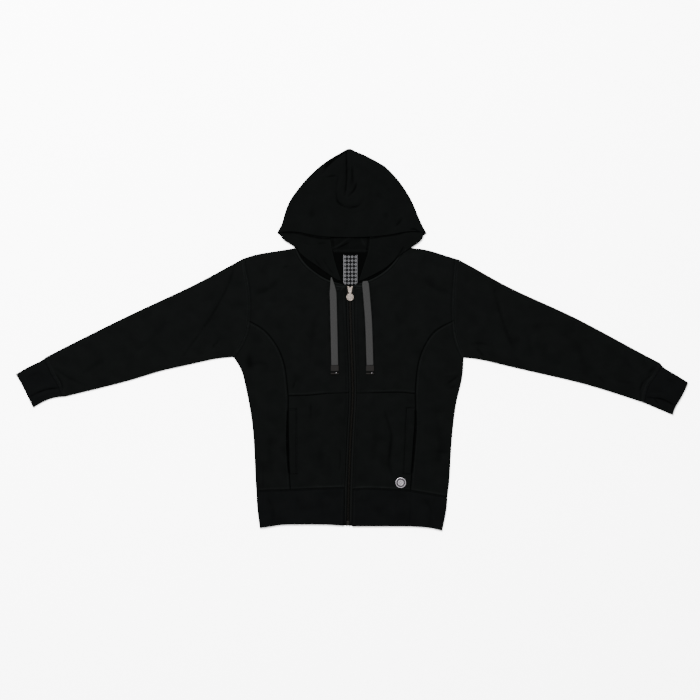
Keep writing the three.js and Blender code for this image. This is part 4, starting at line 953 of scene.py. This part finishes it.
def chainMesh():
    line = smoothLine(seams["zip"], 0.5)
    line = line[line[:, 1] < zipSizes["top"]]
    length = lengthAlong(line)
    bm = bmesh.new()
    bmesh.ops.create_cube(bm, size=1, matrix=boxMatrix(zipSizes["tooth"]))
    bevelEdges(bm, bm.edges[:], zipSizes["toothEdge"], 1)
    template = everything(bm)
    along, k = zipSizes["start"], 0
    while True:
        (x, y), (x2, y2) = placeAt(line, length, along), placeAt(line, length, along + 1)
        if y < zipSizes["bottom"]:
            break
        sideways = (1 if k % 2 else -1) * (zipSizes["reach"] - zipSizes["tooth"][0] / 2)
        turn = Matrix.Rotation(math.atan2(y2 - y, x2 - x) + math.pi / 2, 4, "Z")
        place = Matrix.Translation(Vector((x, y, zipSizes["toothZ"])) * mm)
        copy = onlyVerts(bmesh.ops.duplicate(bm, geom=template)["geom"])
        bmesh.ops.transform(bm, matrix=place @ turn @ Matrix.Translation((sideways * mm, 0, 0)), verts=copy)
        along += zipSizes["toothPitch"] / 2
        k += 1
    bmesh.ops.delete(bm, geom=onlyVerts(template), context="VERTS")
    before = set(bm.verts)
    box = bmesh.ops.create_cube(bm, size=1, matrix=boxMatrix(zipSizes["box"]))
    bevelEdges(bm, list({e for v in box["verts"] for e in v.link_edges}), zipSizes["boxEdge"])
    fresh = [v for v in bm.verts if v not in before]
    bmesh.ops.translate(bm, verts=fresh, vec=Vector(zipSizes["boxAt"]) * mm)
    return bm


chain = addPiece("chain_teeth", chainMesh(), chainMetal, False)
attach(chain, "garment")
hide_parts("zip_chain")


def cutMetal(node, name, material, body, offset):
    bm = takeNode(node)
    bmesh.ops.dissolve_limit(bm, angle_limit=math.radians(2), verts=bm.verts, edges=bm.edges)
    bevelEdges(bm, sharpEdges(bm), offset, clamp=True)
    piece = addPiece(name, bm, material, False)
    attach(piece, body)
    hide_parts(node)


cutMetal("zip_slider", "slider_body", brightMetal, "garment", 0.22)
cutMetal("pull_tab", "round_pull", brightMetal, "pull", 0.3)
pullDisc = {"y": 224.9, "z": 6.4, "radius": 6.7, "half": 0.8, "rim": 0.32}
rims = []
for z in (pullDisc["z"] - pullDisc["half"], pullDisc["z"] + pullDisc["half"]):
    circle = [(pullDisc["radius"] * math.cos(a), pullDisc["y"] + pullDisc["radius"] * math.sin(a), z)
              for a in np.linspace(0, 2 * math.pi, 48, endpoint=False)]
    rims.append((circle, [1] * len(circle)))
rim = tubes("pull_rims", rims, pullDisc["rim"], brightMetal, 1, closed=True)
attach(rim, "pull")
print("zip made")

# Woven neck label: a plain lattice of diamonds between lines, in grey on black
label = {"columns": 10, "rows": 20, "wave": 0.35, "left": -15, "right": 17, "top": 322, "bottom": 253,
         "diamondX": 8.0, "diamondY": 8.6, "steps": (0.40, 0.24, 0.11), "middle": 1, "edgeLine": 14.6,
         "flatTop": 8}


def labelMaterial():
    material, tree, shader = newMaterial("label", (0.0015, 0.0015, 0.0015), 0.7, sheen=0.002, specular=0.012)
    place = addNode(tree, "ShaderNodeTexCoord")
    split = addNode(tree, "ShaderNodeSeparateXYZ")
    tree.links.new(place.outputs["Object"], split.inputs["Vector"])

    def combine(operation, first, second=0.5):
        return calculate(tree, operation, first, second)

    def centred(axis, size, start):
        cells = combine("DIVIDE", combine("SUBTRACT", split.outputs[axis], start * mm), size * mm)
        return calculate(tree, "ABSOLUTE", combine("SUBTRACT", calculate(tree, "FRACT", cells)))

    spread = combine("ADD", centred("X", label["diamondX"], label["left"]),
                     centred("Y", label["diamondY"], label["bottom"]))
    outer, inside, core = [combine("LESS_THAN", spread, share) for share in label["steps"]]
    diamonds = combine("ADD", combine("SUBTRACT", outer, inside), core)
    across = calculate(tree, "ABSOLUTE", combine("SUBTRACT", split.outputs["X"], label["middle"] * mm))
    pattern = combine("MAXIMUM", diamonds, combine("GREATER_THAN", across, label["edgeLine"] * mm))
    weft = addTexture(tree, "ShaderNodeTexWave", {"Scale": 520.0, "Distortion": 0.4}, bands_direction="Y")
    thread = combine("MULTIPLY", pattern, combine("ADD", combine("MULTIPLY", weft)))
    setColour(tree, shader, thread, (0.0005, 0.0005, 0.0006), (0.042, 0.042, 0.044))
    addBump(tree, shader, combine("ADD", thread, weft), 0.4, 0.2)
    return material


bm = takeNode("neck_label")
for axis, low, high, count in ((0, label["left"], label["right"], label["columns"]),
                               (1, label["bottom"], label["top"], label["rows"])):
    normal = Vector((1 - axis, axis, 0))
    for k in range(1, count):
        at = normal * (low + (high - low) * k / count) * mm
        bmesh.ops.bisect_plane(bm, geom=everything(bm), plane_co=at, plane_no=normal)
for v in bm.verts:
    x, y = v.co.x / mm, v.co.y / mm
    rise = (0.5 + 0.5 * math.sin(y / 9.0 + x / 21.0)) * min(1, (label["top"] - y) / label["flatTop"])
    v.co.z += label["wave"] * mm * rise
labelPiece = addPiece("woven_label", bm, labelMaterial())
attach(labelPiece, "garment")
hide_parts("neck_label")
print("label made")

# Badge: a domed rim, a dark ring with beads and a plain rosette
badge = {"x": 116.6, "y": -201.3, "radius": 11.9, "thick": 0.9, "low": 5.3, "edge": 0.35, "rim": 1.5,
         "step": 0.25, "sunk": 0.3, "ring": 3.4, "beads": 16, "bead": 0.75, "beadAt": 8.5, "beadZ": 0.55,
         "petals": 8, "petal": (2.1, 0.62, 0.22), "petalAt": 3.4, "petalZ": 0.85}
darkEnamel, _, _ = newMaterial("badge_dark", (0.0025, 0.0018, 0.0025), 0.45, specular=0.03)
bm = bmesh.new()
bmesh.ops.create_circle(bm, cap_ends=True, segments=64, radius=badge["radius"] * mm)
raised = bmesh.ops.extrude_face_region(bm, geom=bm.faces[:])
bmesh.ops.translate(bm, verts=onlyVerts(raised["geom"]), vec=(0, 0, badge["thick"] * mm))
bmesh.ops.recalc_face_normals(bm, faces=bm.faces)
top = max(bm.faces, key=lambda f: f.calc_center_median().z + f.normal.z)
bevelEdges(bm, list(top.edges), badge["edge"], 3)
top = max(bm.faces, key=lambda f: (round(f.normal.z, 3), f.calc_area()))
step, sunk = badge["step"] * mm, badge["sunk"] * mm
bmesh.ops.inset_region(bm, faces=[top], thickness=(badge["rim"] - badge["edge"]) * mm)
bmesh.ops.inset_region(bm, faces=[top], thickness=step, depth=-sunk)
for face in bmesh.ops.inset_region(bm, faces=[top], thickness=badge["ring"] * mm)["faces"]:
    face.material_index = 1
bmesh.ops.inset_region(bm, faces=[top], thickness=step, depth=sunk)
place = Matrix.Translation(Vector((badge["x"], badge["y"], badge["low"])) * mm)
bmesh.ops.transform(bm, matrix=place, verts=bm.verts)


def aroundBadge(count, away, z):
    for k in range(count):
        a = 2 * math.pi * k / count
        yield a, place @ Matrix.Translation(Vector((away * math.cos(a), away * math.sin(a), z)) * mm)


for _, spot in aroundBadge(badge["beads"], badge["beadAt"], badge["beadZ"]):
    bmesh.ops.create_icosphere(bm, subdivisions=1, radius=badge["bead"] * mm, matrix=spot)
for a, spot in aroundBadge(badge["petals"], badge["petalAt"], badge["petalZ"]):
    before = set(bm.faces)
    bmesh.ops.create_uvsphere(bm, u_segments=10, v_segments=6, radius=1,
                              matrix=spot @ Matrix.Rotation(a, 4, "Z") @ boxMatrix(badge["petal"]))
    for face in set(bm.faces) - before:
        face.material_index = 1
badgePiece = addPiece("badge_disc", bm, badgeMetal, False)
badgePiece.data.materials.append(darkEnamel)
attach(badgePiece, "garment")
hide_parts("badge")

# Cord tips: a flat sealed end with a dark channel that holds one bright bead
tip = {"size": (18, 20, 2.6), "edge": 0.45, "bandTop": 7.8, "bandLow": 3.0, "bandRim": 0.3, "bandIn": 0.35,
       "bead": 1.25, "beadSunk": 0.4, "beadAt": {"left": (-31.7, 51), "right": (50.4, 51)}}


def tipMaterial():
    material, tree, shader = newMaterial("cord_tip", (0.003, 0.0027, 0.0025), 0.5, specular=0.02)
    grain = addTexture(tree, "ShaderNodeTexNoise", {"Scale": 260.0, "Detail": 5.0})
    setColour(tree, shader, grain, (0.0010, 0.0009, 0.0008), (0.0024, 0.0021, 0.0019))
    addBump(tree, shader, grain, 0.25, 0.2)
    return material


def inBand(face, low):
    return tip["bandLow"] < (face.calc_center_median().y - low.y) / mm < tip["bandTop"]


tipPlastic = tipMaterial()
tipBand, _, _ = newMaterial("tip_band", (0.0004, 0.0004, 0.0004), 0.8, specular=0.01)
for side in ("left", "right"):
    low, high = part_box("cord_tip_" + side)
    bm = bmesh.new()
    bmesh.ops.create_cube(bm, size=1, matrix=Matrix.Translation((low + high) / 2) @ boxMatrix(tip["size"]))
    for y in (tip["bandTop"], tip["bandLow"]):
        bmesh.ops.bisect_plane(bm, geom=everything(bm), plane_co=(0, low.y + y * mm, 0), plane_no=(0, 1, 0))
    bevelEdges(bm, sharpEdges(bm), tip["edge"])
    bmesh.ops.inset_region(bm, faces=[f for f in bm.faces if inBand(f, low)], thickness=tip["bandRim"] * mm,
                           depth=-tip["bandIn"] * mm)
    for face in bm.faces:
        face.material_index = 1 if inBand(face, low) else 0
    x, y = tip["beadAt"][side]
    before = set(bm.faces)
    bmesh.ops.create_uvsphere(bm, u_segments=16, v_segments=10, radius=tip["bead"] * mm,
                              matrix=Matrix.Translation((x * mm, y * mm, high.z - tip["beadSunk"] * mm)))
    for face in set(bm.faces) - before:
        face.material_index = 2
    piece = addPiece("tip_" + side, bm, tipPlastic, False)
    piece.data.materials.append(tipBand)
    piece.data.materials.append(badgeMetal)
    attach(piece, "garment")
    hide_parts("cord_tip_" + side)
    cord = cordPieces[side]
    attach(cord, "garment")
    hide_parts("drawcord_" + side)
    route = cords[side + "Route"] * mm
print("badge, tips and cords placed")

# Light and floor: one broad soft light overhead and a pale floor
stage = {"floor": 6000, "below": 0.9, "worldLight": 2.2, "lampSide": 2300, "lampPower": 2400,
         "lampAt": (-1150, 2400, 4200), "lampAim": (0, 100, 0)}
floorMaterial, _, _ = newMaterial("floor", (0.92, 0.92, 0.92), 0.9, specular=0.0)
bm = bmesh.new()
bmesh.ops.create_grid(bm, x_segments=1, y_segments=1, size=stage["floor"] * mm / 2,
                      matrix=Matrix.Translation((0, 0, -stage["below"] * mm)))
floor = addPiece("floor", bm, floorMaterial, False)
world = bpy.data.worlds.new("world")
world.use_nodes = True
sky = world.node_tree.nodes["Background"].inputs
sky["Color"].default_value = (1, 1, 1, 1)
sky["Strength"].default_value = stage["worldLight"]
bpy.context.scene.world = world
lampData = bpy.data.lights.new("overhead", "AREA")
lampData.shape = "SQUARE"
lampData.size = stage["lampSide"] * mm
lampData.energy = stage["lampPower"]
lamp = bpy.data.objects.new("overhead", lampData)
lamp.location = Vector(stage["lampAt"]) * mm
lamp.rotation_euler = (Vector(stage["lampAim"]) * mm - lamp.location).to_track_quat("-Z", "Y").to_euler()
bpy.context.collection.objects.link(lamp)
print("stage set")
